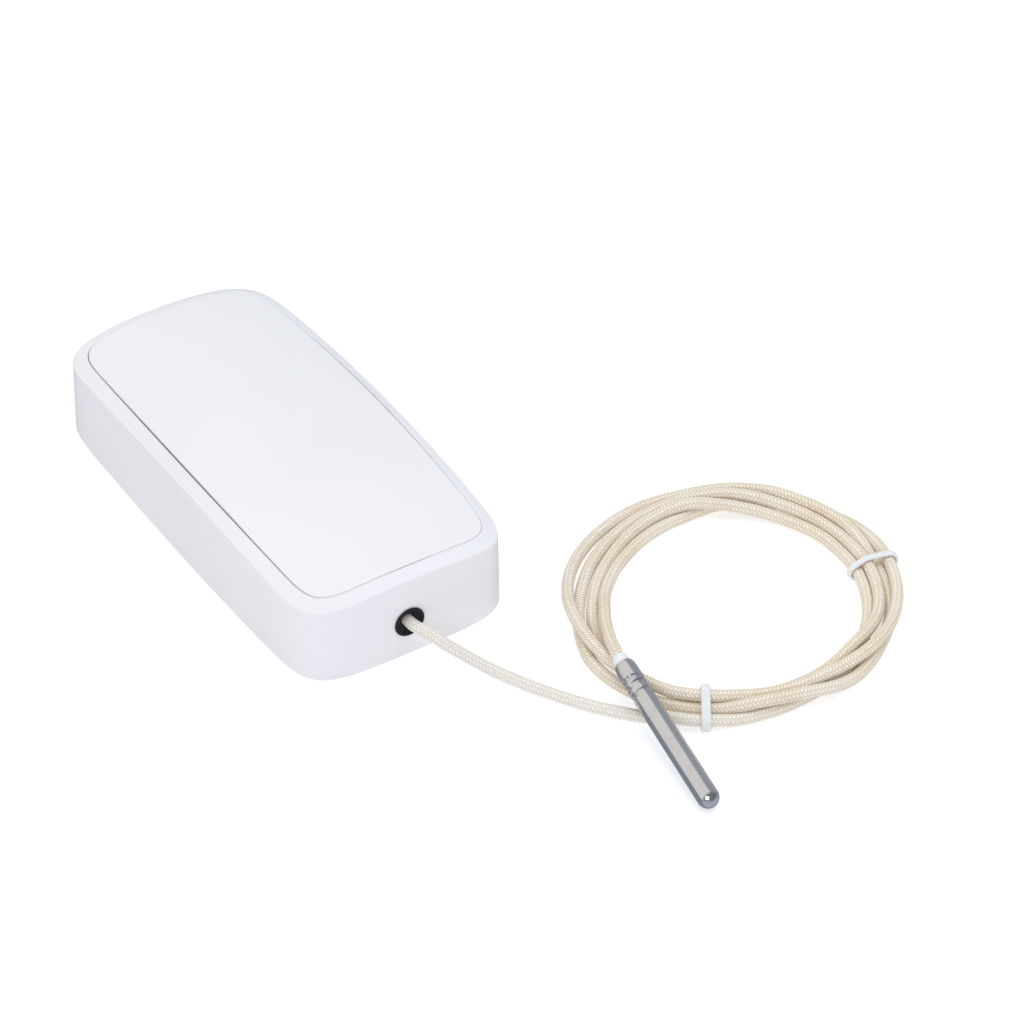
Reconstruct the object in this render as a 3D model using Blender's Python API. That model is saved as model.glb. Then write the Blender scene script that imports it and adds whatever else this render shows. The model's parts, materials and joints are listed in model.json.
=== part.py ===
"""Temperature data logger with a braided probe lead, modelled at its real size.

All sizes below are in millimetres and become metres when a mesh is made. The case lies on its back
with its length along Y and stands on z = 0. The origin is under the middle of the case. The lead
leaves the end wall at -Y, lies coiled on the same surface and ends in a steel probe.
"""
import math

import bmesh
import bpy
from mathutils import Matrix, Vector

MM = 0.001

# General fits
CLEARANCE = 0.3
SEAT = 0.2

# Case. Its length, width and height follow from what it holds, further down.
CORNER_REACH = 29.0
CORNER_POWER = 5.3
SIDE_BOW = 1.5
END_BOW = 1.1
CROWN_LENGTHWISE = 4.4
CROWN_ACROSS = 4.0
RIM_DROP = 1.5
WALL_DRAFT = 0.35
WALL = 2.6
TOP_WALL = 1.8
EDGE_ROUND = 0.3
FOOT_ROUND = 0.5
BODY_LIFT = 0.5

# Front plate, let into the top of the case
RIM_SIDE = 3.5
RIM_END = 3.9
PLATE_CORNER = 20.3
PLATE_SIDE_BOW = 2.25
PLATE_END_BOW = 1.4
PLATE_THICKNESS = 1.8
PLATE_GAP = 0.4
PLATE_ROUND = 0.4
RIM_STEP = 0.25

# Base cover and gasket
BASE_THICKNESS = 2.4
REBATE_WALL = 1.3
GASKET_WIDTH = 1.3
GASKET_THICKNESS = 1.0
PAD_RADIUS = 4.0
PAD_HEIGHT = 1.8

# Case screws and their bosses, in the corners past the ends of the board
BOSS_SIDE_GAP = 3.3
BOSS_END_GAP = 6.8
BOARD_TO_BOSS = 1.4
CASE_SCREW_LENGTH = 12.0
CASE_SCREW_RADIUS = 1.4
CASE_HEAD_RADIUS = 2.8
CASE_HEAD_HEIGHT = 1.8
BOSS_RADIUS = 3.6

# Circuit board. Its length and width follow from what stands on it, further down.
BOARD_THICKNESS = 1.6
BOARD_CORNER = 3.0
BOARD_SIDE_STRIP = 9.8
BOARD_END_STRIP = 3.4
BOARD_TO_WALL = 4.5
POST_HEIGHT = 3.8
POST_RADIUS = 3.0
POST_EDGE = 1.5
BOARD_SCREW_RADIUS = 1.2
BOARD_SCREW_LENGTH = 4.6
BOARD_HEAD_RADIUS = 2.4
BOARD_HEAD_HEIGHT = 1.6

# Battery pair
BATTERY_RADIUS = 7.1
BATTERY_LENGTH = 50.0
NUB_RADIUS = 2.7
NUB_HEIGHT = 1.2
HOLDER_WALL = 1.5
HOLDER_FLOOR = 1.2
HOLDER_HEIGHT = 9.5
BATTERY_WEB = 0.8
SPRING_ROOM = 4.2
SPRING_WIRE = 0.6
SPRING_TURNS = 3
CONTACT_THICKNESS = 0.5
CONTACT_SIZE = 8.0

# Electronics on the board
RADIO_WIDTH = 18.0
RADIO_LENGTH = 15.0
RADIO_HEIGHT = 3.0
RADIO_INSET = 4.0
CHIP_SIDE = 9.0
CHIP_HEIGHT = 1.2
CHIP_GAP = 12.0
ANTENNA_LENGTH = 20.0
ANTENNA_HEIGHT = 6.0
ANTENNA_WIDTH = 2.0
ANTENNA_SHEET = 0.5
ANTENNA_INSET = 2.0
TERMINAL_LENGTH = 9.0
TERMINAL_SIDE = 3.0
TERMINAL_RISE = 7.1
TERMINAL_SCREW_RADIUS = 1.3
TERMINAL_SCREW_DEPTH = 3.0
TERMINAL_TO_RADIO = 0.7
RADIO_TO_HOLDER = 7.0
HEAD_ROOM = 3.7

# Cord and where it leaves the case
CORD_DIAMETER = 3.4
CORD_EXIT_X = -1.8
CORD_EXIT_Z = 11.1
CORD_PAST_CLAMP = 7.7
CONDUCTOR_DIAMETER = 1.2
CONDUCTOR_SPACING = 5.0
CONDUCTOR_RUN = 5.0
CONDUCTOR_GRIP = 3.0
GROMMET_RADIUS = 4.5
GROMMET_LIP = 0.9
GROMMET_DISH = 0.5
GROMMET_NECK = 3.7
CLAMP_EDGE = 0.4
CLAMP_DEPTH = 5.0
CLAMP_RISE = 2.2
CLAMP_WEB = 2.2
CLAMP_SCREW_RADIUS = 1.2
CLAMP_SCREW_LENGTH = 9.5
CLAMP_FROM_WALL = 11.0

# Route of the lead, from the grommet to the first tie, chosen by hand
LEAD_ROUTE = (
    (-1.8, -72.2, 11.1),
    (-1.2, -73.8, 11.15),
    (0.5, -76.6, 10.6),
    (2.1, -79.5, 9.25),
    (4.4, -82.1, 7.45),
    (7.1, -85.0, 5.4),
    (9.9, -88.3, 3.5),
    (12.5, -91.7, 2.2),
    (14.7, -95.5, 1.75),
    (16.6, -99.4, 1.7),
    (18.7, -103.3, 1.7),
    (20.9, -107.0, 1.7),
    (23.1, -110.6, 1.7),
    (25.5, -114.2, 1.7),
    (28.1, -117.7, 1.7),
    (31.4, -121.7, 1.7),
    (35.1, -125.8, 1.75),
    (39.1, -129.4, 1.95),
    (42.4, -132.3, 2.4),
    (44.8, -134.8, 2.75),
)

# Route of the short stretch from the coil to the probe, chosen by hand
TAIL_ROUTE = (
    (48.2, -89.2, 4.8),
    (46.7, -91.9, 5.45),
    (44.8, -95.6, 6.4),
    (42.7, -100.0, 7.5),
    (40.8, -103.9, 8.5),
    (39.4, -107.2, 9.15),
    (38.43, -110.17, 9.4),
)

# Coil of the lead. The lay gives, at each clock angle, the lane and the layer of each of the four
# passes, in cord diameters from the middle of the coil's band and from the surface.
COIL_CENTRE = (81.6, -101.4)
COIL_RADIUS = 41.0
LAY_TURN = -32.8
LAY = (
    (-104, ((2.54, 0.0), (0.05, 0.0), (1.23, 0.0), (0.66, 0.87))),
    (-96, ((2.06, 0.0), (-0.12, 0.0), (1.12, 0.25), (0.48, 0.87))),
    (-85, ((1.36, 0.0), (-0.64, 0.0), (0.94, 0.94), (0.0, 0.79))),
    (-70, ((0.59, 0.0), (-1.12, 0.0), (0.71, 0.97), (-0.29, 0.76))),
    (-45, ((-0.24, 0.0), (-1.15, 0.15), (0.76, 0.06), (-0.03, 1.0))),
    (-20, ((-1.06, 0.0), (-0.53, 0.85), (0.53, 0.0), (0.71, 0.97))),
    (0, ((-1.21, 0.0), (-0.35, 0.53), (0.59, 0.0), (1.09, 0.88))),
    (22, ((-1.23, 0.0), (-0.38, 0.53), (0.48, 0.0), (1.3, 0.56))),
    (45, ((-0.88, 0.0), (0.03, 0.32), (0.94, 0.74), (1.82, 0.06))),
    (65, ((-0.79, 0.03), (-0.06, 0.76), (0.91, 0.97), (1.15, 0.0))),
    (92, ((-0.74, 0.71), (0.38, 0.94), (1.88, 0.21), (0.18, 0.0))),
    (106, ((-0.53, 0.97), (0.62, 0.5), (1.65, 0.09), (-0.74, 0.0))),
    (120, ((-0.29, 0.38), (0.62, 0.15), (1.59, 0.09), (-1.29, 0.0))),
    (150, ((-0.88, 0.03), (0.15, 0.03), (1.24, 0.24), (-1.98, 0.03))),
    (178, ((-0.88, 0.0), (0.18, 0.0), (0.97, 0.68), (-1.95, 0.5))),
    (198, ((-0.38, 0.0), (0.76, 0.0), (0.76, 1.0), (-1.4, 1.15))),
    (212, ((-0.06, 0.0), (1.44, 0.0), (0.68, 0.97), (-0.5, 1.75))),
    (235, ((-0.29, 0.0), (1.38, 0.0), (0.56, 0.87), (1.0, 2.2))),
)
TAIL_LEAVES = 191.0
COIL_STEP = 5.0
FACE_STEP = 0.3
COIL_SECTION_POINTS = 12

# Ties round the coil
TIE_ANGLES = (-101.4, 18.6)
TIE_SKEWS = (11.8, -2.6)
TIE_WIDTH = 2.2
TIE_THICKNESS = 0.9
TIE_LIFT_REACH = 13.0

# Probe
PROBE_LENGTH = 52.3
PROBE_RADIUS = 3.0
PROBE_WALL = 0.5
PROBE_TAIL = (38.01, -113.42, 9.0)
PROBE_HEADING = (-6.33, -48.56)
PROBE_TIP_Z = 2.68
CRIMP_PLACES = (6.5, 8.8, 11.2)
CRIMP_DEPTH = 0.35
CRIMP_WIDTH = 1.6
PROBE_NOSE = 0.45
PROBE_NOSE_LENGTH = 4.6
NOSE_SHAPE = ((0.45, 0.15), (0.15, 0.5), (0.0, 1.0))
COLLAR_RADIUS = 2.15
COLLAR_OUT = 2.8
COLLAR_IN = 2.6
COLLAR_BORE = 0.9
SENSOR_RADIUS = 2.1
SENSOR_LENGTH = 9.0

# Resolution
CORNER_STEPS = 9
SIDE_STEPS = 5
ROUND_STEPS = 20
HOLE_STEPS = 16

# Levels that follow from the sizes above
BASE_TOP = BASE_THICKNESS
LEDGE_Z = BASE_TOP + GASKET_THICKNESS + 2 * SEAT
PAD_TOP = BASE_TOP + PAD_HEIGHT
BOARD_Z = BASE_TOP + POST_HEIGHT + SEAT
BOARD_TOP = BOARD_Z + BOARD_THICKNESS
PARTS_Z = BOARD_TOP + SEAT
CAVITY_RADIUS = BATTERY_RADIUS + CLEARANCE
BATTERY_Z = PARTS_Z + HOLDER_FLOOR + CAVITY_RADIUS
RECESS_DEPTH = PLATE_THICKNESS + SEAT
CASE_HEIGHT = BATTERY_Z + BATTERY_RADIUS + HEAD_ROOM + TOP_WALL + RECESS_DEPTH

# Widths that follow from the sizes above
BATTERY_PITCH = 2 * CAVITY_RADIUS + BATTERY_WEB
HOLDER_WIDTH = BATTERY_PITCH + 2 * (CAVITY_RADIUS + HOLDER_WALL)
BOARD_WIDTH = HOLDER_WIDTH + 2 * BOARD_SIDE_STRIP
CASE_WIDTH = BOARD_WIDTH + 2 * (BOARD_TO_WALL + WALL)
HALF_WIDTH = CASE_WIDTH / 2
CASE_SCREW_X = HALF_WIDTH - WALL - BOSS_SIDE_GAP - BOSS_RADIUS
CORD_RADIUS = CORD_DIAMETER / 2
CORD_BORE = CORD_RADIUS + CLEARANCE
CLAMP_SCREW_OFFSET = CORD_BORE + CLAMP_WEB + CLAMP_SCREW_RADIUS + CLEARANCE
CLAMP_WIDTH = 2 * (CLAMP_SCREW_OFFSET + BOARD_HEAD_RADIUS + CLAMP_EDGE)
TERMINAL_WIDTH = CONDUCTOR_SPACING + 2 * TERMINAL_SIDE

# Lengths that follow from the sizes above, from the end wall where the cord comes in
HOLDER_CAVITY = BATTERY_LENGTH + SPRING_ROOM + CONTACT_THICKNESS + 2 * SEAT
HOLDER_LENGTH = HOLDER_CAVITY + 2 * HOLDER_WALL
CORD_REACH = CLAMP_FROM_WALL + CLAMP_DEPTH / 2 + CORD_PAST_CLAMP
TERMINAL_REACH = CORD_REACH + CONDUCTOR_RUN
RADIO_REACH = TERMINAL_REACH + TERMINAL_LENGTH + TERMINAL_TO_RADIO
HOLDER_REACH = RADIO_REACH + RADIO_LENGTH + RADIO_TO_HOLDER
BOARD_LENGTH = HOLDER_REACH + HOLDER_LENGTH + BOARD_END_STRIP - CORD_REACH
BOSS_SPACE = BOARD_TO_BOSS + 2 * BOSS_RADIUS + BOSS_END_GAP
CASE_LENGTH = CORD_REACH + BOARD_LENGTH + BOSS_SPACE + 2 * WALL
HALF_LENGTH = CASE_LENGTH / 2
CASE_SCREW_Y = HALF_LENGTH - WALL - BOSS_END_GAP - BOSS_RADIUS
END_WALL_Y = -(HALF_LENGTH + WALL_DRAFT * (1 - CORD_EXIT_Z / CASE_HEIGHT))
END_WALL_INSIDE_Y = -(HALF_LENGTH - WALL)
CLAMP_Y = END_WALL_INSIDE_Y + CLAMP_FROM_WALL
CORD_END_Y = END_WALL_INSIDE_Y + CORD_REACH
TERMINAL_Y = END_WALL_INSIDE_Y + TERMINAL_REACH
RADIO_Y = END_WALL_INSIDE_Y + RADIO_REACH
HOLDER_Y = END_WALL_INSIDE_Y + HOLDER_REACH
BOARD_Y = CORD_END_Y


def material(name, colour, roughness, metallic=0.0):
    """Make a plain Principled material."""
    made = bpy.data.materials.new(name)
    made.use_nodes = True
    shader = made.node_tree.nodes["Principled BSDF"]
    shader.inputs["Base Color"].default_value = (*colour, 1.0)
    shader.inputs["Roughness"].default_value = roughness
    shader.inputs["Metallic"].default_value = metallic
    made.diffuse_color = (*colour, 1.0)
    return made


def add_object(name, data, finish, location=(0.0, 0.0, 0.0)):
    """Put a mesh or a curve in the scene as one named part of the logger."""
    made = bpy.data.objects.new(name, data)
    made.location = Vector(location) * MM
    made.parent = LOGGER
    data.materials.append(finish)
    bpy.context.scene.collection.objects.link(made)
    return made


def finish_mesh(name, shape):
    """Turn a bmesh in millimetres into a smooth-shaded mesh in metres."""
    bmesh.ops.recalc_face_normals(shape, faces=shape.faces)
    bmesh.ops.scale(shape, vec=(MM, MM, MM), verts=shape.verts)
    mesh = bpy.data.meshes.new(name)
    shape.to_mesh(mesh)
    shape.free()
    mesh.shade_smooth()
    mesh.set_sharp_from_angle(angle=math.radians(35))
    return mesh


def skin(shape, rings, closed=False):
    """Join rings of equal point count with quads. A ring of one point closes to a pole."""
    made = [[shape.verts.new(point) for point in ring] for ring in rings]
    pairs = list(zip(made, made[1:]))
    if closed:
        pairs.append((made[-1], made[0]))
    for first, second in pairs:
        count = max(len(first), len(second))
        if count == 1:
            continue
        for i in range(count):
            j = (i + 1) % count
            if len(first) == 1:
                shape.faces.new((first[0], second[j], second[i]))
            elif len(second) == 1:
                shape.faces.new((first[i], first[j], second[0]))
            else:
                shape.faces.new((first[i], first[j], second[j], second[i]))


def lofted(name, rings, finish, closed=False):
    """Make a part by joining rings of points."""
    shape = bmesh.new()
    skin(shape, rings, closed)
    return add_object(name, finish_mesh(name, shape), finish)


def hexagon_factor(angle):
    """Give the distance to a hexagon's side along an angle, for a flat distance of 1."""
    sector = math.radians(60)
    return 1 / math.cos((angle % sector) - sector / 2)


def turned_rings(profile, steps=ROUND_STEPS):
    """Turn a profile of (radius, height) or (radius, height, "hex") about Z."""
    rings = []
    for radius, height, *form in profile:
        if radius == 0:
            rings.append([Vector((0, 0, height))])
            continue
        ring = []
        for i in range(steps):
            angle = 2 * math.pi * i / steps
            reach = radius * (hexagon_factor(angle) if form else 1)
            ring.append(Vector((reach * math.cos(angle), reach * math.sin(angle), height)))
        rings.append(ring)
    return rings


def turned(name, profile, finish, frame=None, closed=False, steps=ROUND_STEPS):
    """Make a turned part whose Z axis is moved by a frame, in millimetres."""
    shape = bmesh.new()
    skin(shape, turned_rings(profile, steps), closed)
    if frame is not None:
        bmesh.ops.transform(shape, matrix=frame, verts=shape.verts)
    return add_object(name, finish_mesh(name, shape), finish)


def cylinder(shape, radius, low, high, x=0.0, y=0.0):
    """Add an upright cylinder to a bmesh."""
    middle = Matrix.Translation((x, y, (low + high) / 2))
    bmesh.ops.create_cone(
        shape, cap_ends=True, segments=HOLE_STEPS, radius1=radius, radius2=radius, depth=high - low, matrix=middle
    )


def cylinder_along_y(shape, radius, near, far, x, z):
    """Add a cylinder that lies along Y to a bmesh."""
    middle = Matrix.Translation((x, (near + far) / 2, z)) @ Matrix.Rotation(math.pi / 2, 4, "X")
    bmesh.ops.create_cone(
        shape, cap_ends=True, segments=HOLE_STEPS, radius1=radius, radius2=radius, depth=far - near, matrix=middle
    )


def block(shape, low, high):
    """Add a box between two corners to a bmesh."""
    low = Vector(low)
    high = Vector(high)
    matrix = Matrix.Translation((low + high) / 2) @ Matrix.Diagonal((*(high - low), 1))
    bmesh.ops.create_cube(shape, size=1.0, matrix=matrix)


def helper(name, shape):
    """Keep a bmesh as a hidden body for a Boolean modifier."""
    made = bpy.data.objects.new(name, finish_mesh(name, shape))
    made.parent = LOGGER
    made.hide_render = True
    made.display_type = "WIRE"
    bpy.context.scene.collection.objects.link(made)
    return made


def combine(part, operation, name, shape):
    """Add to a part, or cut from it, the bodies in a bmesh."""
    modifier = part.modifiers.new(name, "BOOLEAN")
    modifier.operation = operation
    modifier.solver = "EXACT"
    modifier.object = helper(name, shape)


def soften(part, width, segments=1):
    """Bevel the edges of a boxy part."""
    modifier = part.modifiers.new("edges", "BEVEL")
    modifier.width = width * MM
    modifier.segments = segments
    modifier.limit_method = "ANGLE"


def smooth_route(points, spacing):
    """Read points at an even spacing from a smooth curve through a route's own points."""
    knots = [Vector(point) for point in points]
    knots = [2 * knots[0] - knots[1], *knots, 2 * knots[-1] - knots[-2]]
    dense = []
    for a, b, c, d in zip(knots, knots[1:], knots[2:], knots[3:]):
        for step in range(12):
            t = step / 12
            dense.append(
                0.5 * (2 * b + (c - a) * t + (2 * a - 5 * b + 4 * c - d) * t * t + (3 * b - a - 3 * c + d) * t ** 3)
            )
    dense.append(knots[-2])
    lengths = [0.0]
    for a, b in zip(dense, dense[1:]):
        lengths.append(lengths[-1] + (b - a).length)
    count = max(2, round(lengths[-1] / spacing))
    route = []
    at = 0
    for i in range(count + 1):
        target = lengths[-1] * i / count
        while at < len(lengths) - 2 and lengths[at + 1] < target:
            at += 1
        share = (target - lengths[at]) / (lengths[at + 1] - lengths[at])
        route.append(dense[at].lerp(dense[at + 1], min(1.0, share)))
    return route


def tube(name, points, diameter, finish, resolution=2):
    """Make a round tube along a row of points, with closed ends."""
    curve = bpy.data.curves.new(name, "CURVE")
    curve.dimensions = "3D"
    curve.bevel_depth = diameter / 2 * MM
    curve.bevel_resolution = resolution
    curve.use_fill_caps = True
    spline = curve.splines.new("POLY")
    spline.points.add(len(points) - 1)
    for place, point in zip(spline.points, points):
        place.co = (*(Vector(point) * MM), 1.0)
    return add_object(name, curve, finish)


def corner_angles():
    """Give the angles of a corner's points over a quarter turn, closest together at the bend."""
    angles = []
    for i in range(CORNER_STEPS + 1):
        share = 2 * i / CORNER_STEPS - 1
        angles.append(math.pi / 4 * (1 + math.copysign(abs(share) ** 1.6, share)))
    return angles


def outline(half_width, half_length, corner, side_bow, end_bow, inset=0.0):
    """Give the points of a bowed rectangle with soft corners, counter-clockwise from +X."""
    wide = half_width - inset
    long = half_length - inset
    bend = min(corner - inset, wide, long)
    points = []
    for quarter in range(4):
        sign_x = 1 if quarter in (0, 3) else -1
        sign_y = 1 if quarter in (0, 1) else -1
        for angle in corner_angles():
            c = math.cos(angle + quarter * math.pi / 2)
            s = math.sin(angle + quarter * math.pi / 2)
            reach = bend / (abs(c) ** CORNER_POWER + abs(s) ** CORNER_POWER) ** (1 / CORNER_POWER)
            points.append((sign_x * (wide - bend) + reach * c, sign_y * (long - bend) + reach * s))
        if quarter in (1, 3):
            side = sign_x * wide if quarter == 1 else wide
            run = long - bend
            way = -1 if quarter == 1 else 1
            for i in range(1, SIDE_STEPS):
                points.append((side, way * run * (2 * i / SIDE_STEPS - 1)))
    return [
        (x * (1 - side_bow / half_width * (y / long) ** 2), y * (1 - end_bow / half_length * (x / wide) ** 2))
        for x, y in points
    ]


def case_outline(inset=0.0):
    """Give the case's outline, moved inwards by an inset."""
    return outline(HALF_WIDTH, HALF_LENGTH, CORNER_REACH, SIDE_BOW, END_BOW, inset)


def plate_outline(inset=0.0):
    """Give the outline of the front plate's recess, moved inwards by an inset."""
    return outline(
        HALF_WIDTH - RIM_SIDE, HALF_LENGTH - RIM_END, PLATE_CORNER, PLATE_SIDE_BOW, PLATE_END_BOW, inset
    )


def crown(x, y):
    """Give the height of the case's crowned top at a place."""
    return CASE_HEIGHT - CROWN_LENGTHWISE * (y / HALF_LENGTH) ** 2 - CROWN_ACROSS * (x / HALF_WIDTH) ** 2


def at_height(points, height):
    """Lift flat points to one height."""
    return [Vector((x, y, height)) for x, y in points]


def on_crown(points, drop):
    """Lift flat points to the crowned top, less a drop."""
    return [Vector((x, y, crown(x, y) - drop)) for x, y in points]


def crowned_cap(points, drop):
    """Give rings from an outline to its middle that follow the crowned top."""
    rings = [on_crown([(x * share, y * share) for x, y in points], drop) for share in (0.78, 0.52, 0.26)]
    return [*rings, [Vector((0, 0, crown(0, 0) - drop))]]


def case_screw_places():
    """Give the four places of the case screws."""
    return [(sx * CASE_SCREW_X, sy * CASE_SCREW_Y) for sy in (-1, 1) for sx in (-1, 1)]


def board_screw_places():
    """Give the four places of the board's screws."""
    inset = POST_RADIUS + POST_EDGE
    x = BOARD_WIDTH / 2 - inset
    return [(side * x, y) for y in (BOARD_Y + inset, BOARD_Y + BOARD_LENGTH - inset) for side in (-1, 1)]


def build_case_body():
    """Make the case body: side walls, rim, the recess for the front plate, screw bosses and bore."""
    recess = plate_outline()
    recess_round = plate_outline(-EDGE_ROUND)
    recess_floor = RECESS_DEPTH
    ceiling = recess_floor + TOP_WALL
    inner = case_outline(WALL)
    rings = list(reversed(crowned_cap(recess, recess_floor)))
    rings.append(on_crown(recess, recess_floor))
    rings.append(on_crown(recess, RIM_STEP + EDGE_ROUND))
    rings.append(on_crown(recess_round, RIM_STEP))
    rings.append(on_crown(case_outline(EDGE_ROUND), RIM_DROP))
    rings.append(on_crown(case_outline(0), RIM_DROP + EDGE_ROUND))
    rings.append(at_height(case_outline(-WALL_DRAFT), BODY_LIFT + FOOT_ROUND))
    rings.append(at_height(case_outline(FOOT_ROUND / 2 - WALL_DRAFT), BODY_LIFT))
    rings.append(at_height(case_outline(REBATE_WALL), BODY_LIFT))
    rings.append(at_height(case_outline(REBATE_WALL), LEDGE_Z))
    rings.append(at_height(inner, LEDGE_Z))
    rings.append(on_crown(inner, ceiling))
    rings.extend(crowned_cap(inner, ceiling))
    body = lofted("case_body", rings, WHITE)

    bosses = bmesh.new()
    holes = bmesh.new()
    for x, y in case_screw_places():
        top = crown(x, y) - recess_floor - TOP_WALL / 2
        cylinder(bosses, BOSS_RADIUS, PAD_TOP + SEAT, top, x, y)
        cylinder(holes, CASE_SCREW_RADIUS + CLEARANCE, 0, CASE_SCREW_LENGTH + PAD_TOP, x, y)
    combine(body, "UNION", "boss_bodies", bosses)
    combine(body, "DIFFERENCE", "pilot_holes", holes)
    bore = bmesh.new()
    cylinder_along_y(
        bore, GROMMET_NECK + CLEARANCE, END_WALL_Y - WALL, END_WALL_INSIDE_Y + WALL, CORD_EXIT_X, CORD_EXIT_Z
    )
    combine(body, "DIFFERENCE", "cord_bore", bore)


def build_front_plate():
    """Make the crowned plate that fills the recess."""
    edge = plate_outline(PLATE_GAP)
    eased = plate_outline(PLATE_GAP + PLATE_ROUND)
    rings = list(reversed(crowned_cap(edge, PLATE_THICKNESS)))
    rings.append(on_crown(edge, PLATE_THICKNESS))
    rings.append(on_crown(edge, PLATE_ROUND))
    rings.append(on_crown(plate_outline(PLATE_GAP + PLATE_ROUND * 0.3), PLATE_ROUND * 0.3))
    rings.append(on_crown(eased, 0))
    rings.extend(crowned_cap(eased, 0))
    lofted("front_plate", rings, PLATE_WHITE)


def build_base_cover():
    """Make the cover that closes the case from below, with posts for the board and the cord clamp."""
    inset = REBATE_WALL + CLEARANCE
    flat = case_outline(inset)
    low = case_outline(inset + EDGE_ROUND)
    rings = [
        [Vector((0, 0, 0))],
        at_height([(x * 0.5, y * 0.5) for x, y in low], 0),
        at_height(low, 0),
        at_height(flat, EDGE_ROUND),
        at_height(flat, BASE_TOP),
        at_height([(x * 0.5, y * 0.5) for x, y in flat], BASE_TOP),
        [Vector((0, 0, BASE_TOP))],
    ]
    cover = lofted("base_cover", rings, WHITE)

    posts = bmesh.new()
    counterbores = bmesh.new()
    through_holes = bmesh.new()
    for x, y in case_screw_places():
        cylinder(posts, PAD_RADIUS, BASE_TOP / 2, PAD_TOP, x, y)
        cylinder(through_holes, CASE_SCREW_RADIUS + CLEARANCE, -1, PAD_TOP + 1, x, y)
        cylinder(counterbores, CASE_HEAD_RADIUS + CLEARANCE, -1, CASE_HEAD_HEIGHT + 2 * SEAT, x, y)
    for x, y in board_screw_places():
        cylinder(posts, POST_RADIUS, BASE_TOP / 2, BOARD_Z - SEAT, x, y)
        cylinder(through_holes, BOARD_SCREW_RADIUS + CLEARANCE, BASE_TOP, BOARD_Z + 1, x, y)
    top = CORD_EXIT_Z - CORD_RADIUS - CLEARANCE
    block(
        posts,
        (CORD_EXIT_X - CLAMP_WIDTH / 2, CLAMP_Y - CLAMP_DEPTH / 2, BASE_TOP / 2),
        (CORD_EXIT_X + CLAMP_WIDTH / 2, CLAMP_Y + CLAMP_DEPTH / 2, top),
    )
    for side in (-1, 1):
        x = CORD_EXIT_X + side * CLAMP_SCREW_OFFSET
        cylinder(through_holes, CLAMP_SCREW_RADIUS + CLEARANCE, BASE_TOP, top + 1, x, CLAMP_Y)
    combine(cover, "UNION", "cover_posts", posts)
    combine(cover, "DIFFERENCE", "cover_holes", through_holes)
    combine(cover, "DIFFERENCE", "cover_counterbores", counterbores)


def build_gasket():
    """Make the soft ring that seals the base cover to the case body's ledge."""
    inset = REBATE_WALL + CLEARANCE
    low = BASE_TOP + SEAT
    high = low + GASKET_THICKNESS
    outer = case_outline(inset)
    inner = case_outline(inset + GASKET_WIDTH)
    rings = [at_height(outer, low), at_height(outer, high), at_height(inner, high), at_height(inner, low)]
    lofted("case_gasket", rings, RUBBER_GREY, closed=True)


def screw(name, place, shank_radius, shank_length, head_radius, head_height, head_up, finish):
    """Make a cap screw with a hexagon socket, its head's bearing face at the given place."""
    socket = head_radius * 0.5
    profile = [
        (0, -shank_length),
        (shank_radius * 0.7, -shank_length),
        (shank_radius, -shank_length + shank_radius * 0.5),
        (shank_radius, 0),
        (head_radius, 0),
        (head_radius, head_height * 0.75),
        (head_radius * 0.85, head_height),
        (socket, head_height, "hex"),
        (socket, head_height * 0.45, "hex"),
        (0, head_height * 0.45),
    ]
    frame = Matrix.Translation(place)
    if not head_up:
        frame = frame @ Matrix.Rotation(math.pi, 4, "X")
    turned(name, profile, finish, frame, steps=12)


def build_case_screws():
    """Make the four screws that hold the base cover to the body."""
    for number, (x, y) in enumerate(case_screw_places(), start=1):
        place = (x, y, CASE_HEAD_HEIGHT + SEAT)
        length = CASE_SCREW_LENGTH
        screw(
            f"case_screw_{number}", place, CASE_SCREW_RADIUS, length, CASE_HEAD_RADIUS, CASE_HEAD_HEIGHT, False, STEEL
        )


def build_board():
    """Make the circuit board and the four screws that hold it to its posts."""
    shape = bmesh.new()
    half = BOARD_WIDTH / 2
    block(shape, (-half, BOARD_Y, BOARD_Z), (half, BOARD_Y + BOARD_LENGTH, BOARD_TOP))
    upright = [edge for edge in shape.edges if abs(edge.verts[0].co.z - edge.verts[1].co.z) > BOARD_THICKNESS / 2]
    bmesh.ops.bevel(
        shape, geom=upright, offset=BOARD_CORNER, offset_type="OFFSET", segments=3, profile=0.5, affect="EDGES", material=-1
    )
    board = add_object("circuit_board", finish_mesh("circuit_board", shape), BOARD_GREEN)
    holes = bmesh.new()
    for number, (x, y) in enumerate(board_screw_places(), start=1):
        cylinder(holes, BOARD_SCREW_RADIUS + CLEARANCE, BOARD_Z - 1, BOARD_TOP + 1, x, y)
        screw(
            f"board_screw_{number}",
            (x, y, BOARD_TOP + SEAT),
            BOARD_SCREW_RADIUS,
            BOARD_SCREW_LENGTH,
            BOARD_HEAD_RADIUS,
            BOARD_HEAD_HEIGHT,
            True,
            STEEL,
        )
    combine(board, "DIFFERENCE", "board_holes", holes)


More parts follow.
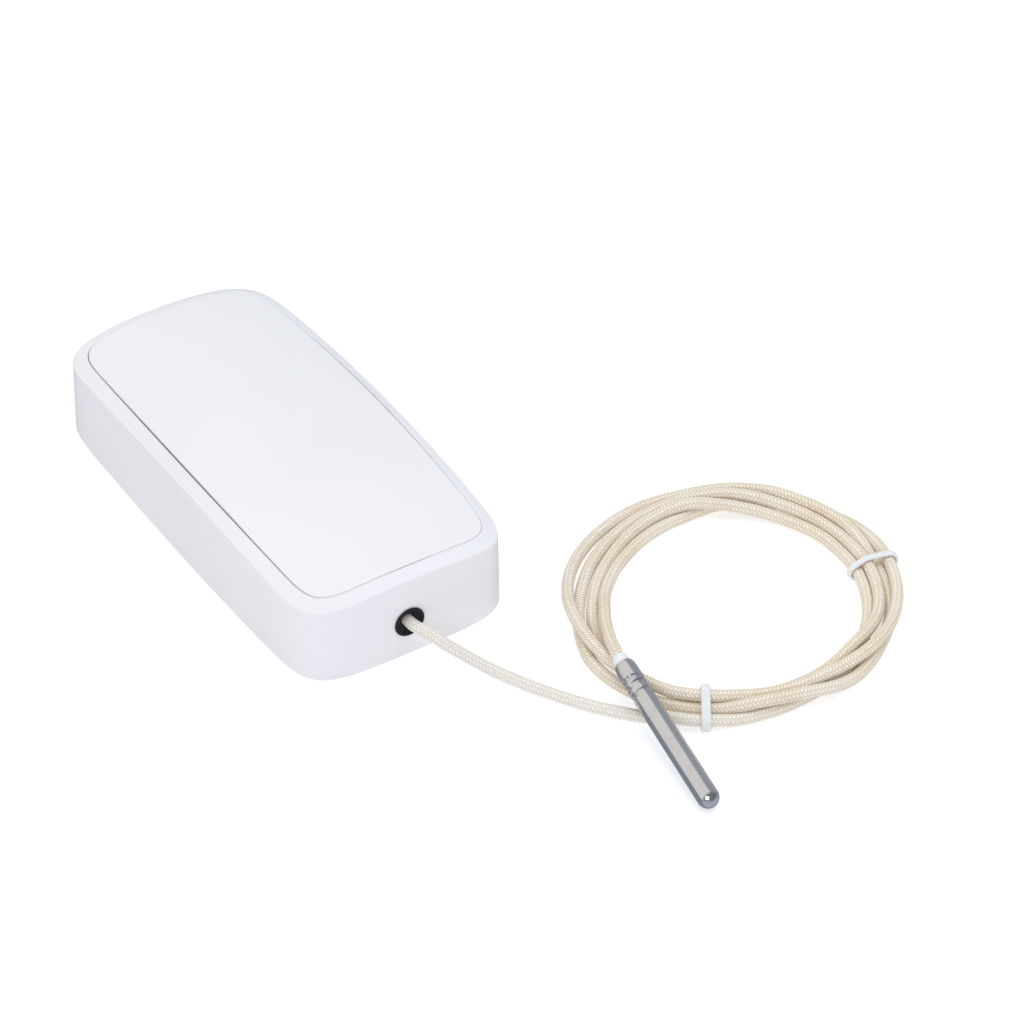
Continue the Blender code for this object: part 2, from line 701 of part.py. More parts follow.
def build_batteries():
    """Make the holder, two cells, and the spring and plate contacts at their ends."""
    half = HOLDER_WIDTH / 2
    near = HOLDER_Y + HOLDER_WALL
    far = near + HOLDER_CAVITY
    shape = bmesh.new()
    block(shape, (-half, HOLDER_Y, PARTS_Z), (half, HOLDER_Y + HOLDER_LENGTH, PARTS_Z + HOLDER_HEIGHT))
    holder = add_object("battery_holder", finish_mesh("battery_holder", shape), BLACK_PLASTIC)
    cavities = bmesh.new()
    for number, (side, way) in enumerate(((-1, 1), (1, -1)), start=1):
        x = side * BATTERY_PITCH / 2
        cylinder_along_y(cavities, CAVITY_RADIUS, near, far, x, BATTERY_Z)
        plus_wall, minus_wall = (far, near) if way > 0 else (near, far)
        plate_face = plus_wall - way * (SEAT + CONTACT_THICKNESS)
        build_plate_contact(f"plate_contact_{number}", x, BATTERY_Z, plus_wall - way * SEAT, plate_face)
        tip = plate_face - way * SEAT
        build_battery(f"battery_{number}", x, BATTERY_Z, tip, way)
        minus_end = tip - way * BATTERY_LENGTH
        build_spring(f"spring_contact_{number}", x, BATTERY_Z, minus_end - way * SEAT, minus_wall + way * SEAT)
    combine(holder, "DIFFERENCE", "battery_cavities", cavities)


def build_battery(name, x, z, tip, way):
    """Make one cell whose positive tip is at a place along Y and points along way."""
    length = BATTERY_LENGTH
    profile = [
        (0, 0),
        (BATTERY_RADIUS - 0.6, 0),
        (BATTERY_RADIUS, 0.6),
        (BATTERY_RADIUS, length - NUB_HEIGHT - 0.6),
        (BATTERY_RADIUS - 0.6, length - NUB_HEIGHT),
        (NUB_RADIUS, length - NUB_HEIGHT),
        (NUB_RADIUS, length - 0.3),
        (NUB_RADIUS - 0.3, length),
        (0, length),
    ]
    frame = Matrix.Translation((x, tip - way * length, z)) @ Matrix.Rotation(-way * math.pi / 2, 4, "X")
    turned(name, profile, BATTERY_FILM, frame)


def build_plate_contact(name, x, z, back, face):
    """Make the flat plate that touches a cell's positive tip."""
    shape = bmesh.new()
    low = min(back, face)
    high = max(back, face)
    half = CONTACT_SIZE / 2
    block(shape, (x - half, low, z - half), (x + half, high, z + half))
    add_object(name, finish_mesh(name, shape), STEEL)


def build_spring(name, x, z, start, end):
    """Make the tapered wire spring that touches a cell's negative end."""
    steps = 10 * SPRING_TURNS
    inset = math.copysign(SPRING_WIRE / 2, end - start)
    points = []
    for i in range(steps + 1):
        share = i / steps
        angle = 2 * math.pi * SPRING_TURNS * share
        radius = 2.4 + 1.4 * share
        y = start + inset + (end - start - 2 * inset) * share
        points.append((x + radius * math.cos(angle), y, z + radius * math.sin(angle)))
    tube(name, points, SPRING_WIRE, STEEL, resolution=1)


def raised_box(name, size, corner, finish, edge):
    """Make a boxy component that stands on the board, from its low corner."""
    shape = bmesh.new()
    low = Vector((*corner, PARTS_Z))
    block(shape, low, low + Vector(size))
    made = add_object(name, finish_mesh(name, shape), finish)
    soften(made, edge)
    return made


def build_electronics():
    """Make the radio, its antenna, the controller and the terminal block."""
    radio_x = RADIO_INSET - BOARD_WIDTH / 2
    raised_box("radio_module", (RADIO_WIDTH, RADIO_LENGTH, RADIO_HEIGHT), (radio_x, RADIO_Y), STEEL, 0.4)
    chip_x = radio_x + RADIO_WIDTH + CHIP_GAP
    chip_y = RADIO_Y + (RADIO_LENGTH - CHIP_SIDE) / 2
    raised_box("controller_chip", (CHIP_SIDE, CHIP_SIDE, CHIP_HEIGHT), (chip_x, chip_y), BLACK_PLASTIC, 0.2)
    build_antenna()
    front = TERMINAL_Y
    top = CORD_EXIT_Z + TERMINAL_RISE
    terminal_size = (TERMINAL_WIDTH, TERMINAL_LENGTH, top - PARTS_Z)
    terminal_corner = (CORD_EXIT_X - TERMINAL_WIDTH / 2, front)
    terminal = raised_box("terminal_block", terminal_size, terminal_corner, TERMINAL_GREEN, 0.3)
    screw_y = front + TERMINAL_LENGTH * 0.6
    holes = bmesh.new()
    wells = bmesh.new()
    for number, side in enumerate((-1, 1), start=1):
        x = CORD_EXIT_X + side * CONDUCTOR_SPACING / 2
        cylinder_along_y(holes, CONDUCTOR_DIAMETER / 2 + CLEARANCE, front - 1, front + CONDUCTOR_GRIP + CLEARANCE, x, CORD_EXIT_Z)
        cylinder(wells, TERMINAL_SCREW_RADIUS + CLEARANCE, top - TERMINAL_SCREW_DEPTH, top + 1, x, screw_y)
        bottom = top - TERMINAL_SCREW_DEPTH + SEAT
        profile = [
            (0, bottom),
            (TERMINAL_SCREW_RADIUS, bottom),
            (TERMINAL_SCREW_RADIUS, top - 0.4),
            (TERMINAL_SCREW_RADIUS * 0.5, top - 0.4, "hex"),
            (TERMINAL_SCREW_RADIUS * 0.5, top - 1.4, "hex"),
            (0, top - 1.4),
        ]
        turned(f"terminal_screw_{number}", profile, STEEL, Matrix.Translation((x, screw_y, 0)), steps=12)
        route = smooth_route(
            (
                (CORD_EXIT_X + side * CONDUCTOR_DIAMETER * 0.75, CORD_END_Y + CLEARANCE, CORD_EXIT_Z),
                (CORD_EXIT_X + side * CONDUCTOR_SPACING * 0.33, (CORD_END_Y + front) / 2, CORD_EXIT_Z),
                (x, front - 0.5, CORD_EXIT_Z),
                (x, front + CONDUCTOR_GRIP, CORD_EXIT_Z),
            ),
            CONDUCTOR_DIAMETER,
        )
        tube(f"conductor_{number}", route, CONDUCTOR_DIAMETER, CONDUCTOR_FINISHES[number - 1])
    combine(terminal, "DIFFERENCE", "wire_holes", holes)
    combine(terminal, "DIFFERENCE", "screw_wells", wells)


def build_antenna():
    """Make the bent-strip antenna, a bridge of sheet metal with two legs."""
    shape = bmesh.new()
    x = BOARD_WIDTH / 2 - ANTENNA_INSET - ANTENNA_WIDTH
    y = HOLDER_Y + HOLDER_LENGTH / 2
    half = ANTENNA_LENGTH / 2
    low = PARTS_Z
    high = low + ANTENNA_HEIGHT
    sheet = ANTENNA_SHEET
    corners = (
        (-half, low),
        (-half + sheet, low),
        (-half + sheet, high - sheet),
        (half - sheet, high - sheet),
        (half - sheet, low),
        (half, low),
        (half, high),
        (-half, high),
    )
    rings = [[Vector((x + offset, y + along, height)) for along, height in corners] for offset in (0, ANTENNA_WIDTH)]
    first, second = [[shape.verts.new(point) for point in ring] for ring in rings]
    shape.faces.new(first)
    shape.faces.new(tuple(reversed(second)))
    for i in range(len(corners)):
        j = (i + 1) % len(corners)
        shape.faces.new((first[i], first[j], second[j], second[i]))
    add_object("antenna", finish_mesh("antenna", shape), BRASS)


def build_cord_entry():
    """Make the grommet, the cord inside the case and the clamp that holds it."""
    reach = END_WALL_INSIDE_Y - END_WALL_Y + CLEARANCE
    face = CLEARANCE + GROMMET_LIP
    profile = [
        (CORD_BORE, -reach - GROMMET_LIP),
        (CORD_BORE, face - GROMMET_DISH - 0.2),
        (CORD_BORE + 0.2, face - GROMMET_DISH),
        (GROMMET_NECK - 0.7, face - 0.15),
        (GROMMET_NECK - 0.3, face),
        (GROMMET_RADIUS - 0.4, face),
        (GROMMET_RADIUS, face - 0.4),
        (GROMMET_RADIUS, CLEARANCE),
        (GROMMET_NECK, CLEARANCE),
        (GROMMET_NECK, -reach),
        (GROMMET_RADIUS - 0.2, -reach),
        (GROMMET_RADIUS - 0.2, -reach - GROMMET_LIP),
    ]
    frame = Matrix.Translation((CORD_EXIT_X, END_WALL_Y, CORD_EXIT_Z)) @ Matrix.Rotation(math.pi / 2, 4, "X")
    turned("cable_grommet", profile, RUBBER_BLACK, frame, closed=True, steps=24)

    start = (CORD_EXIT_X, END_WALL_Y - face + CLEARANCE, CORD_EXIT_Z)
    end = (CORD_EXIT_X, CORD_END_Y, CORD_EXIT_Z)
    tube("cord_inner", (start, end), CORD_DIAMETER, BRAID)
    build_clamp()


def build_clamp():
    """Make the saddle that grips the cord on its post, and its two screws."""
    low = CORD_EXIT_Z - CORD_RADIUS - CLEARANCE + SEAT
    high = CORD_EXIT_Z + CORD_BORE + CLAMP_RISE
    half = CLAMP_WIDTH / 2
    section = [(-half, low), (-CORD_BORE, low)]
    for i in range(9):
        angle = math.pi * (1 - i / 8)
        section.append((CORD_BORE * math.cos(angle), CORD_EXIT_Z + CORD_BORE * math.sin(angle)))
    section += [(CORD_BORE, low), (half, low), (half, high), (-half, high)]
    shape = bmesh.new()
    rings = []
    for y in (CLAMP_Y - CLAMP_DEPTH / 2, CLAMP_Y + CLAMP_DEPTH / 2):
        rings.append([shape.verts.new((CORD_EXIT_X + x, y, z)) for x, z in section])
    first, second = rings
    shape.faces.new(first)
    shape.faces.new(tuple(reversed(second)))
    for i in range(len(section)):
        j = (i + 1) % len(section)
        shape.faces.new((first[i], first[j], second[j], second[i]))
    clamp = add_object("cable_clamp", finish_mesh("cable_clamp", shape), BLACK_PLASTIC)
    holes = bmesh.new()
    for number, side in enumerate((-1, 1), start=1):
        x = CORD_EXIT_X + side * CLAMP_SCREW_OFFSET
        cylinder(holes, CLAMP_SCREW_RADIUS + CLEARANCE, low - 1, high + 1, x, CLAMP_Y)
        screw(
            f"clamp_screw_{number}",
            (x, CLAMP_Y, high + SEAT),
            CLAMP_SCREW_RADIUS,
            CLAMP_SCREW_LENGTH,
            BOARD_HEAD_RADIUS,
            BOARD_HEAD_HEIGHT,
            True,
            STEEL,
        )
    combine(clamp, "DIFFERENCE", "clamp_holes", holes)


def lay_values(number, clock):
    """Give the lane and layer of one pass at a clock angle from a smooth curve through the lay."""
    angles = [angle for angle, _ in LAY]
    turns = len(LAY[0][1])
    count = len(LAY)
    at = max(i for i in range(count) if angles[i] <= clock + 1e-6)

    def knot(offset):
        """Give the angle and values of a row before or after, running on into the next pass."""
        index = at + offset
        turn = number + index // count
        angle = angles[index % count] + 360 * (index // count)
        turn = min(max(turn, 0), turns - 1)
        return angle, LAY[index % count][1][turn]

    before, here, after, beyond = (knot(offset) for offset in (-1, 0, 1, 2))
    span = after[0] - here[0]
    t = (clock - here[0]) / span
    values = []
    for axis in range(2):
        slope_here = (after[1][axis] - before[1][axis]) / (after[0] - before[0]) * span
        slope_after = (beyond[1][axis] - here[1][axis]) / (beyond[0] - here[0]) * span
        values.append(
            here[1][axis] * (2 * t ** 3 - 3 * t ** 2 + 1)
            + slope_here * (t ** 3 - 2 * t ** 2 + t)
            + after[1][axis] * (3 * t ** 2 - 2 * t ** 3)
            + slope_after * (t ** 3 - t ** 2)
        )
    return values


def tie_lift(clock):
    """Give how far the band of a tie lifts the coil off the surface at a clock angle."""
    lift = 0.0
    for tie in TIE_ANGLES:
        apart = (clock - tie + 180) % 360 - 180
        lift = max(lift, math.exp(-((apart / TIE_LIFT_REACH) ** 2)))
    return lift * (TIE_THICKNESS + CLEARANCE + 0.1)


def bundle(clock):
    """Give the centres of the passes of cord that lie in the coil at a clock angle."""
    turns = len(LAY[0][1])
    if clock > TAIL_LEAVES:
        turns -= 1
    centres = []
    for number in range(turns):
        lane, layer = lay_values(number, clock)
        height = CORD_RADIUS + max(layer, 0) * CORD_DIAMETER + tie_lift(clock)
        centres.append((COIL_RADIUS + lane * CORD_DIAMETER, height))
    return centres


def bundle_outline(centres, count, growth=0.0):
    """Give the outer shape round passes with these centres, as (radius, height) points."""
    middle_r = (min(c[0] for c in centres) + max(c[0] for c in centres)) / 2
    middle_z = (min(c[1] for c in centres) + max(c[1] for c in centres)) / 2
    rays = [math.pi * i / count for i in range(2 * count)]
    walls = []
    for angle in rays:
        c = math.cos(angle)
        s = math.sin(angle)
        walls.append(max((r - middle_r) * c + (z - middle_z) * s for r, z in centres) + CORD_RADIUS + growth)
    points = []
    for i in range(count):
        angle = 2 * math.pi * i / count
        reach = min(
            wall / math.cos(angle - ray) for wall, ray in zip(walls, rays) if math.cos(angle - ray) > 0.05
        )
        points.append((middle_r + reach * math.cos(angle), middle_z + reach * math.sin(angle)))
    return points


def coil_place(clock, radius, height):
    """Turn a clock angle, radius and height on the coil into a place."""
    angle = math.radians(clock + LAY_TURN)
    return Vector(
        (COIL_CENTRE[0] + radius * math.cos(angle), COIL_CENTRE[1] + radius * math.sin(angle), height)
    )


def build_coil():
    """Make the outer shape of the coiled cord as one closed ring."""
    start = LAY[0][0]
    clocks = [start + COIL_STEP * i for i in range(round(360 / COIL_STEP))]
    clocks = sorted([*clocks, TAIL_LEAVES, TAIL_LEAVES + FACE_STEP, start + 360 - FACE_STEP])
    rings = []
    before = start - 1
    for clock in clocks:
        if clock - before < FACE_STEP / 2:
            continue
        before = clock
        section = bundle_outline(bundle(clock), COIL_SECTION_POINTS)
        rings.append([coil_place(clock, radius, max(height, 0.05)) for radius, height in section])
    lofted("cord_coil", rings, BRAID, closed=True)


def build_ties():
    """Make the two nylon bands that hold the coil together."""
    for number, (clock, skew) in enumerate(zip(TIE_ANGLES, TIE_SKEWS), start=1):
        band = [radius for radius, _ in bundle(clock)]
        slant = (max(band) - min(band)) / 2 * math.sin(math.radians(abs(skew)))
        half = math.degrees((TIE_WIDTH / 2 + slant) / COIL_RADIUS)
        held = [*bundle(max(clock - half, LAY[0][0])), *bundle(clock + half)]
        inside = bundle_outline(held, ROUND_STEPS, CLEARANCE)
        outside = bundle_outline(held, ROUND_STEPS, CLEARANCE + TIE_THICKNESS)
        inner_eased = bundle_outline(held, ROUND_STEPS, CLEARANCE + TIE_THICKNESS * 0.25)
        outer_eased = bundle_outline(held, ROUND_STEPS, CLEARANCE + TIE_THICKNESS * 0.75)
        middle = coil_place(clock, (max(band) + min(band)) / 2, 0)
        turn = Matrix.Translation(middle) @ Matrix.Rotation(math.radians(skew), 4, "Z")
        turn = turn @ Matrix.Translation(-middle)
        along = math.radians(clock + LAY_TURN + 90)
        way = Vector((math.cos(along), math.sin(along), 0))
        section = (
            (inside, -0.32),
            (inside, 0.32),
            (inner_eased, 0.5),
            (outer_eased, 0.5),
            (outside, 0.32),
            (outside, -0.32),
            (outer_eased, -0.5),
            (inner_eased, -0.5),
        )
        rings = []
        for loop, share in section:
            rings.append([turn @ (coil_place(clock, r, z) + way * (share * TIE_WIDTH)) for r, z in loop])
        lofted(f"coil_tie_{number}", rings, NYLON, closed=True)


def probe_frame():
    """Give the frame of the probe: its origin at the cord end and its Z along the tube."""
    heading = Vector((*PROBE_HEADING, 0)).normalized()
    drop = math.asin((PROBE_TAIL[2] - PROBE_TIP_Z) / PROBE_LENGTH)
    along = heading * math.cos(drop) - Vector((0, 0, math.sin(drop)))
    return Matrix.Translation(PROBE_TAIL) @ along.to_track_quat("Z", "Y").to_matrix().to_4x4()


def build_probe():
    """Make the steel probe tube with its rolled crimps, its collar and the sensing element inside."""
    frame = probe_frame()
    bore = PROBE_RADIUS - PROBE_WALL
    profile = [(bore, 0.0), (PROBE_RADIUS - PROBE_NOSE, 0.0)]
    profile += [(PROBE_RADIUS - PROBE_NOSE * share, PROBE_NOSE_LENGTH * at) for share, at in NOSE_SHAPE]
    for place in CRIMP_PLACES:
        for share in (-0.5, -0.2, 0.2, 0.5):
            dip = CRIMP_DEPTH * (0.5 + 0.5 * math.cos(2 * math.pi * share))
            profile.append((PROBE_RADIUS - dip, place + share * CRIMP_WIDTH))
    shoulder = PROBE_LENGTH - PROBE_RADIUS
    profile += dome(PROBE_RADIUS, shoulder, 6)
    profile += [(radius, height) for radius, height in reversed(dome(bore, shoulder, 4))]
    turned("probe_tube", profile, POLISHED_STEEL, frame, closed=True)

    end = -COLLAR_OUT
    collar = [
        (COLLAR_BORE, end),
        (COLLAR_RADIUS - 0.2, end),
        (COLLAR_RADIUS, end + 0.2),
        (COLLAR_RADIUS, COLLAR_IN),
        (COLLAR_BORE, COLLAR_IN),
    ]
    turned("probe_collar", collar, SLEEVE_WHITE, frame, closed=True)

    sensor_end = PROBE_LENGTH - PROBE_RADIUS - CLEARANCE
    sensor = [
        (0, sensor_end - SENSOR_LENGTH),
        (SENSOR_RADIUS, sensor_end - SENSOR_LENGTH),
        (SENSOR_RADIUS, sensor_end - 0.4),
        (SENSOR_RADIUS - 0.4, sensor_end),
        (0, sensor_end),
    ]
    turned("sensor_element", sensor, CERAMIC, frame)


def dome(radius, shoulder, steps):
    """Give the profile of a rounded end, from its shoulder to its pole."""
    points = []
    for i in range(steps + 1):
        angle = math.pi / 2 * i / steps
        points.append((0 if i == steps else radius * math.cos(angle), shoulder + radius * math.sin(angle)))
    return points


def build_cord():
    """Make the stretches of cord that lie free outside the coil."""
    tube("cord_lead", smooth_route(LEAD_ROUTE, 2.2 * CORD_DIAMETER), CORD_DIAMETER, BRAID)
    tube("cord_tail", smooth_route(TAIL_ROUTE, CORD_DIAMETER), CORD_DIAMETER, BRAID)


for old in list(bpy.data.objects):
    bpy.data.objects.remove(old, do_unlink=True)

LOGGER = bpy.data.objects.new("logger", None)
bpy.context.scene.collection.objects.link(LOGGER)

WHITE = material("white case plastic", (0.80, 0.82, 0.84), 0.38)
PLATE_WHITE = material("white plate plastic", (0.84, 0.85, 0.87), 0.35)
RUBBER_BLACK = material("black rubber", (0.02, 0.02, 0.02), 0.6)
RUBBER_GREY = material("grey silicone", (0.35, 0.36, 0.37), 0.6)
BLACK_PLASTIC = material("black plastic", (0.03, 0.03, 0.03), 0.5)
STEEL = material("zinc plated steel", (0.6, 0.6, 0.6), 0.35, 1.0)
POLISHED_STEEL = material("polished steel", (0.62, 0.63, 0.65), 0.18, 1.0)
BRASS = material("tinned brass", (0.7, 0.6, 0.35), 0.35, 1.0)
BOARD_GREEN = material("green board", (0.03, 0.2, 0.08), 0.4)
TERMINAL_GREEN = material("green terminal plastic", (0.05, 0.3, 0.12), 0.5)
BATTERY_FILM = material("battery film", (0.15, 0.16, 0.18), 0.35)
BRAID = material("glass fibre braid", (0.79, 0.71, 0.58), 0.7)
SLEEVE_WHITE = material("white sleeve", (0.86, 0.88, 0.88), 0.4)
NYLON = material("white nylon", (0.86, 0.87, 0.88), 0.35)
CERAMIC = material("white ceramic", (0.85, 0.85, 0.82), 0.5)
CONDUCTOR_FINISHES = (
    material("red insulation", (0.5, 0.04, 0.03), 0.45),
    material("white insulation", (0.8, 0.8, 0.78), 0.45),
)

build_case_body()
build_front_plate()
build_base_cover()
build_gasket()
build_case_screws()
build_board()
build_batteries()
build_electronics()
build_cord_entry()
build_cord()
build_coil()
build_ties()
build_probe()
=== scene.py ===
"""Looks of a temperature data logger: white case, braided lead in a tied coil, and steel probe.

Sizes in the classes are in millimetres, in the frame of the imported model, and become metres when a
mesh is finished. Each sub-assembly is a class that builds its own meshes and dresses them.
"""

from __future__ import annotations

import json
import logging
import math
from dataclasses import dataclass, field
from enum import Enum

import bmesh
import bpy
import numpy as np
from mathutils import Matrix, Vector

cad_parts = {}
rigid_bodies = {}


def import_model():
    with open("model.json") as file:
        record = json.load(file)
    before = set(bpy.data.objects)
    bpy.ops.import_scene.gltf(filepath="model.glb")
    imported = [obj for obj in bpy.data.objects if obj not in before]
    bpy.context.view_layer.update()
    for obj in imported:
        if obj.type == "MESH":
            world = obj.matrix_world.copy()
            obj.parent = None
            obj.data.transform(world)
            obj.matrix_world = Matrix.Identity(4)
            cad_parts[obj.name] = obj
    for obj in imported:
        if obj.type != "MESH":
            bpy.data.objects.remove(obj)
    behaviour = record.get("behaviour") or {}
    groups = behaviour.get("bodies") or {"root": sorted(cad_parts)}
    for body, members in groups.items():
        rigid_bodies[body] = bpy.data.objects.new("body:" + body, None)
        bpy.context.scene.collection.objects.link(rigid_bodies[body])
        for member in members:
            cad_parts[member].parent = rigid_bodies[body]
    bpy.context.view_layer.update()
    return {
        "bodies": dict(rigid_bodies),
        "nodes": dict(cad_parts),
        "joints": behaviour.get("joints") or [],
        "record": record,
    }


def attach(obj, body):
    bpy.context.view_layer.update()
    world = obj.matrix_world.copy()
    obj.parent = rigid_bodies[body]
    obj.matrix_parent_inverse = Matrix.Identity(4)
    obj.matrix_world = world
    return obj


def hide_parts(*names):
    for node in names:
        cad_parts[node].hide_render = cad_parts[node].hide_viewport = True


LOG = logging.getLogger("logger_looks")
MM = 0.001
ROOT_BODY = "root"

FILLET_LIMIT = 0.49
SHARP = 40.0
MERGE = 1e-4
MIX_FIRST, MIX_SECOND, MIX_RESULT = 6, 7, 2

Pair = tuple[float, float]
Triple = tuple[float, float, float]
Colour = Triple
Place = Triple
Flat = list[Pair]
Ring = list[Vector]


class Way(Enum):
    """Which kind of texture coordinate a pattern follows."""

    PLACE = "Object"
    SURFACE = "UV"


@dataclass(eq=False)
class Value:
    """A number that varies from place to place, held as the output socket of a shader node."""

    nodes: Nodes
    socket: bpy.types.NodeSocket

    def _math(self, operation: str, *others: Value | float) -> Value:
        """Add a Math node that works on this value and others."""
        return self.nodes.value("ShaderNodeMath", {"operation": operation}, dict(enumerate((self, *others))))

    def __add__(self, other: Value | float) -> Value:
        """Add."""
        return self._math("ADD", other)

    __radd__ = __add__

    def __mul__(self, other: Value | float) -> Value:
        """Multiply."""
        return self._math("MULTIPLY", other)

    __rmul__ = __mul__

    def __sub__(self, other: Value | float) -> Value:
        """Subtract."""
        return self._math("SUBTRACT", other)

    def __rsub__(self, other: Value | float) -> Value:
        """Subtract this value from another."""
        return self * -1.0 + other

    def __mod__(self, other: float) -> Value:
        """Wrap into the range from 0 to another value."""
        return self._math("FLOORED_MODULO", other)

    def __lt__(self, other: Value | float) -> Value:
        """Give 1 where this value is below another, and 0 elsewhere."""
        return self._math("LESS_THAN", other)

    def floor(self) -> Value:
        """Round down."""
        return self._math("FLOOR")

    def sine(self) -> Value:
        """Take the sine."""
        return self._math("SINE")

    def power(self, exponent: float) -> Value:
        """Raise to a power."""
        return self._math("POWER", exponent)

    def smooth(self, low: float, high: float) -> Value:
        """Rise smoothly from 0 at a low value to 1 at a high one."""
        sockets = {"Value": self, "From Min": low, "From Max": high}
        return self.nodes.value("ShaderNodeMapRange", {"interpolation_type": "SMOOTHSTEP"}, sockets)


@dataclass
class Nodes:
    """The shader nodes of a material or of the world."""

    tree: bpy.types.NodeTree

    def node(self, kind: str, settings: dict | None = None, sockets: dict | None = None) -> bpy.types.Node:
        """Add a node.

        Args:
            kind: The node's type.
            settings: Its own settings, which are set first.
            sockets: The values or links of its input sockets.

        Returns:
            The node.
        """
        made = self.tree.nodes.new(kind)
        for name, value in (settings or {}).items():
            setattr(made, name, value)
        for name, value in (sockets or {}).items():
            self.feed(made.inputs[name], value)
        return made

    def value(self, kind: str, settings: dict, sockets: dict) -> Value:
        """Add a node and take its first output as a value."""
        return Value(self, self.node(kind, settings, sockets).outputs[0])

    def feed(self, socket: bpy.types.NodeSocket, value: object) -> None:
        """Set or link an input socket.

        Args:
            socket: The input socket.
            value: A number, a colour, a Value or an output socket.
        """
        if isinstance(value, Value):
            value = value.socket
        if isinstance(value, bpy.types.NodeSocket):
            self.tree.links.new(value, socket)
        else:
            socket.default_value = (*value, 1.0) if socket.type == "RGBA" else value

    def parts(self, vector: bpy.types.NodeSocket) -> list[Value]:
        """Split a vector into its three values."""
        return [Value(self, part) for part in self.node("ShaderNodeSeparateXYZ", {}, {0: vector}).outputs]

    def blend(self, share: Value, first: object, second: object) -> bpy.types.NodeSocket:
        """Mix two colours, by how much of the second."""
        sockets = {0: share, MIX_FIRST: first, MIX_SECOND: second}
        return self.node("ShaderNodeMix", {"data_type": "RGBA"}, sockets).outputs[MIX_RESULT]


class Surface(Nodes):
    """The shader nodes of one finish, built up from its Principled shader."""

    def __init__(self, name: str) -> None:
        """Start a material.

        Args:
            name: The material's name.
        """
        self.material = bpy.data.materials.new(name)
        self.material.use_nodes = True
        super().__init__(self.material.node_tree)
        self.shader = self.tree.nodes["Principled BSDF"]

    def where(self, way: Way) -> bpy.types.NodeSocket:
        """Give a texture coordinate."""
        return self.node("ShaderNodeTexCoord").outputs[way.value]

    def stretched(self, scale: Triple, turn: Triple) -> bpy.types.NodeSocket:
        """Give the object coordinate, turned in radians about each axis and then stretched along each."""
        sockets = {"Vector": self.where(Way.PLACE), "Rotation": turn, "Scale": scale}
        return self.node("ShaderNodeMapping", {"vector_type": "POINT"}, sockets).outputs[0]

    def noise(self, size: float, detail: float = 2.0, at: bpy.types.NodeSocket | None = None) -> Value:
        """Give a soft noise from 0 to 1, with patches of a size in millimetres and finer layers in them."""
        sockets = {"Vector": at or self.where(Way.PLACE), "Scale": 1.0 / (size * MM), "Detail": detail}
        return self.value("ShaderNodeTexNoise", {}, sockets)

    def uniform(self, **values: object) -> None:
        """Set sockets of the shader that are even all over, named with _ for each space."""
        for name, value in values.items():
            self.shader.inputs[name.replace("_", " ")].default_value = value

    def colour(self, value: object) -> None:
        """Set the base colour."""
        self.feed(self.shader.inputs["Base Color"], value)

    def roughness(self, value: object) -> None:
        """Set the roughness."""
        self.feed(self.shader.inputs["Roughness"], value)

    def relief(self, height: Value, depth: float) -> None:
        """Raise the surface by a pattern from 0 to 1, to a depth in millimetres."""
        bump = self.node("ShaderNodeBump", {}, {"Height": height, "Distance": depth * MM, "Strength": 1.0})
        self.feed(self.shader.inputs["Normal"], bump.outputs[0])


@dataclass(frozen=True)
class Finish:
    """What every finish has. The first use of a finish makes its material, and later uses share it."""

    name: str
    slot: str
    tint: Colour
    gloss: float

    def material(self) -> bpy.types.Material:
        """Give the finish's material.

        Returns:
            The material.
        """
        known = bpy.data.materials.get(self.name)
        if known:
            return known
        surface = Surface(self.name)
        self.paint(surface)
        return surface.material

    def shaded(self, *shades: float) -> Colour:
        """Give the tint with each channel dimmed by its own share."""
        return tuple(channel * shade for channel, shade in zip(self.tint, shades))

    def paint(self, surface: Surface) -> None:
        """Give the surface its colour, roughness and relief."""
        surface.colour(self.tint)
        surface.roughness(self.gloss)

    def dress(self, piece: bpy.types.Object) -> None:
        """Put the finish on a piece.

        Args:
            piece: The piece.
        """
        made = self.material()
        if not piece.material_slots:
            piece.data.materials.append(made)
        for slot in piece.material_slots:
            slot.material = made


@dataclass(frozen=True)
class MouldedPlastic(Finish):
    """Injection-moulded plastic with a fine spark-eroded grain and faint uneven shrinkage."""

    grain: float = 0.22
    grain_depth: float = 0.004
    cloud: float = 0.02
    cloud_size: float = 38.0

    def paint(self, surface: Surface) -> None:
        """Paint a satin moulded plastic.

        Args:
            surface: The surface to paint.
        """
        broad = surface.noise(self.cloud_size, 1.0)
        fine = surface.noise(self.grain)
        surface.colour(self.tone(surface, broad))
        surface.roughness(fine * 0.08 + broad * 0.05 + (self.gloss - 0.065))
        surface.relief(fine + broad * 2.0, self.grain_depth)

    def tone(self, surface: Surface, broad: Value) -> bpy.types.NodeSocket:
        """Give the colour, faintly clouded by a broad pattern."""
        darker = self.shaded(*[1.0 - self.cloud] * 3)
        return surface.blend(broad.smooth(0.3, 0.7), darker, self.tint)


@dataclass(frozen=True)
class PlatePlastic(MouldedPlastic):
    """The front plate's plastic, with painted shade: a darker, warmer colour down its edge, standing in for
    the shade in the gap round it and the warm light that soaks through there.
    """

    edge: Colour = (0.60, 0.43, 0.415)
    painted_gap_shade_depths: Pair = (0.28, 0.7)
    form: CaseForm = field(kw_only=True)

    def tone(self, surface: Surface, broad: Value) -> bpy.types.NodeSocket:
        """Give the clouded colour, with a painted warm shade below the crown.

        Args:
            surface: The surface to paint.
            broad: The pattern of its clouds.

        Returns:
            The colour.
        """
        form = self.form
        x, y, level = surface.parts(surface.where(Way.PLACE))
        depth = form.height - level * (1.0 / MM)
        falls = ((x, form.crown_across, form.width), (y, form.crown_lengthwise, form.length))
        for place, fall, size in falls:
            share = place * (1.0 / (size / 2 * MM))
            depth = depth - share * share * fall
        # Painted shade: deeper below the crown, the colour turns to the darker, warm edge colour, as in the
        # shaded gap round the plate.
        return surface.blend(depth.smooth(*self.painted_gap_shade_depths), super().tone(surface, broad), self.edge)


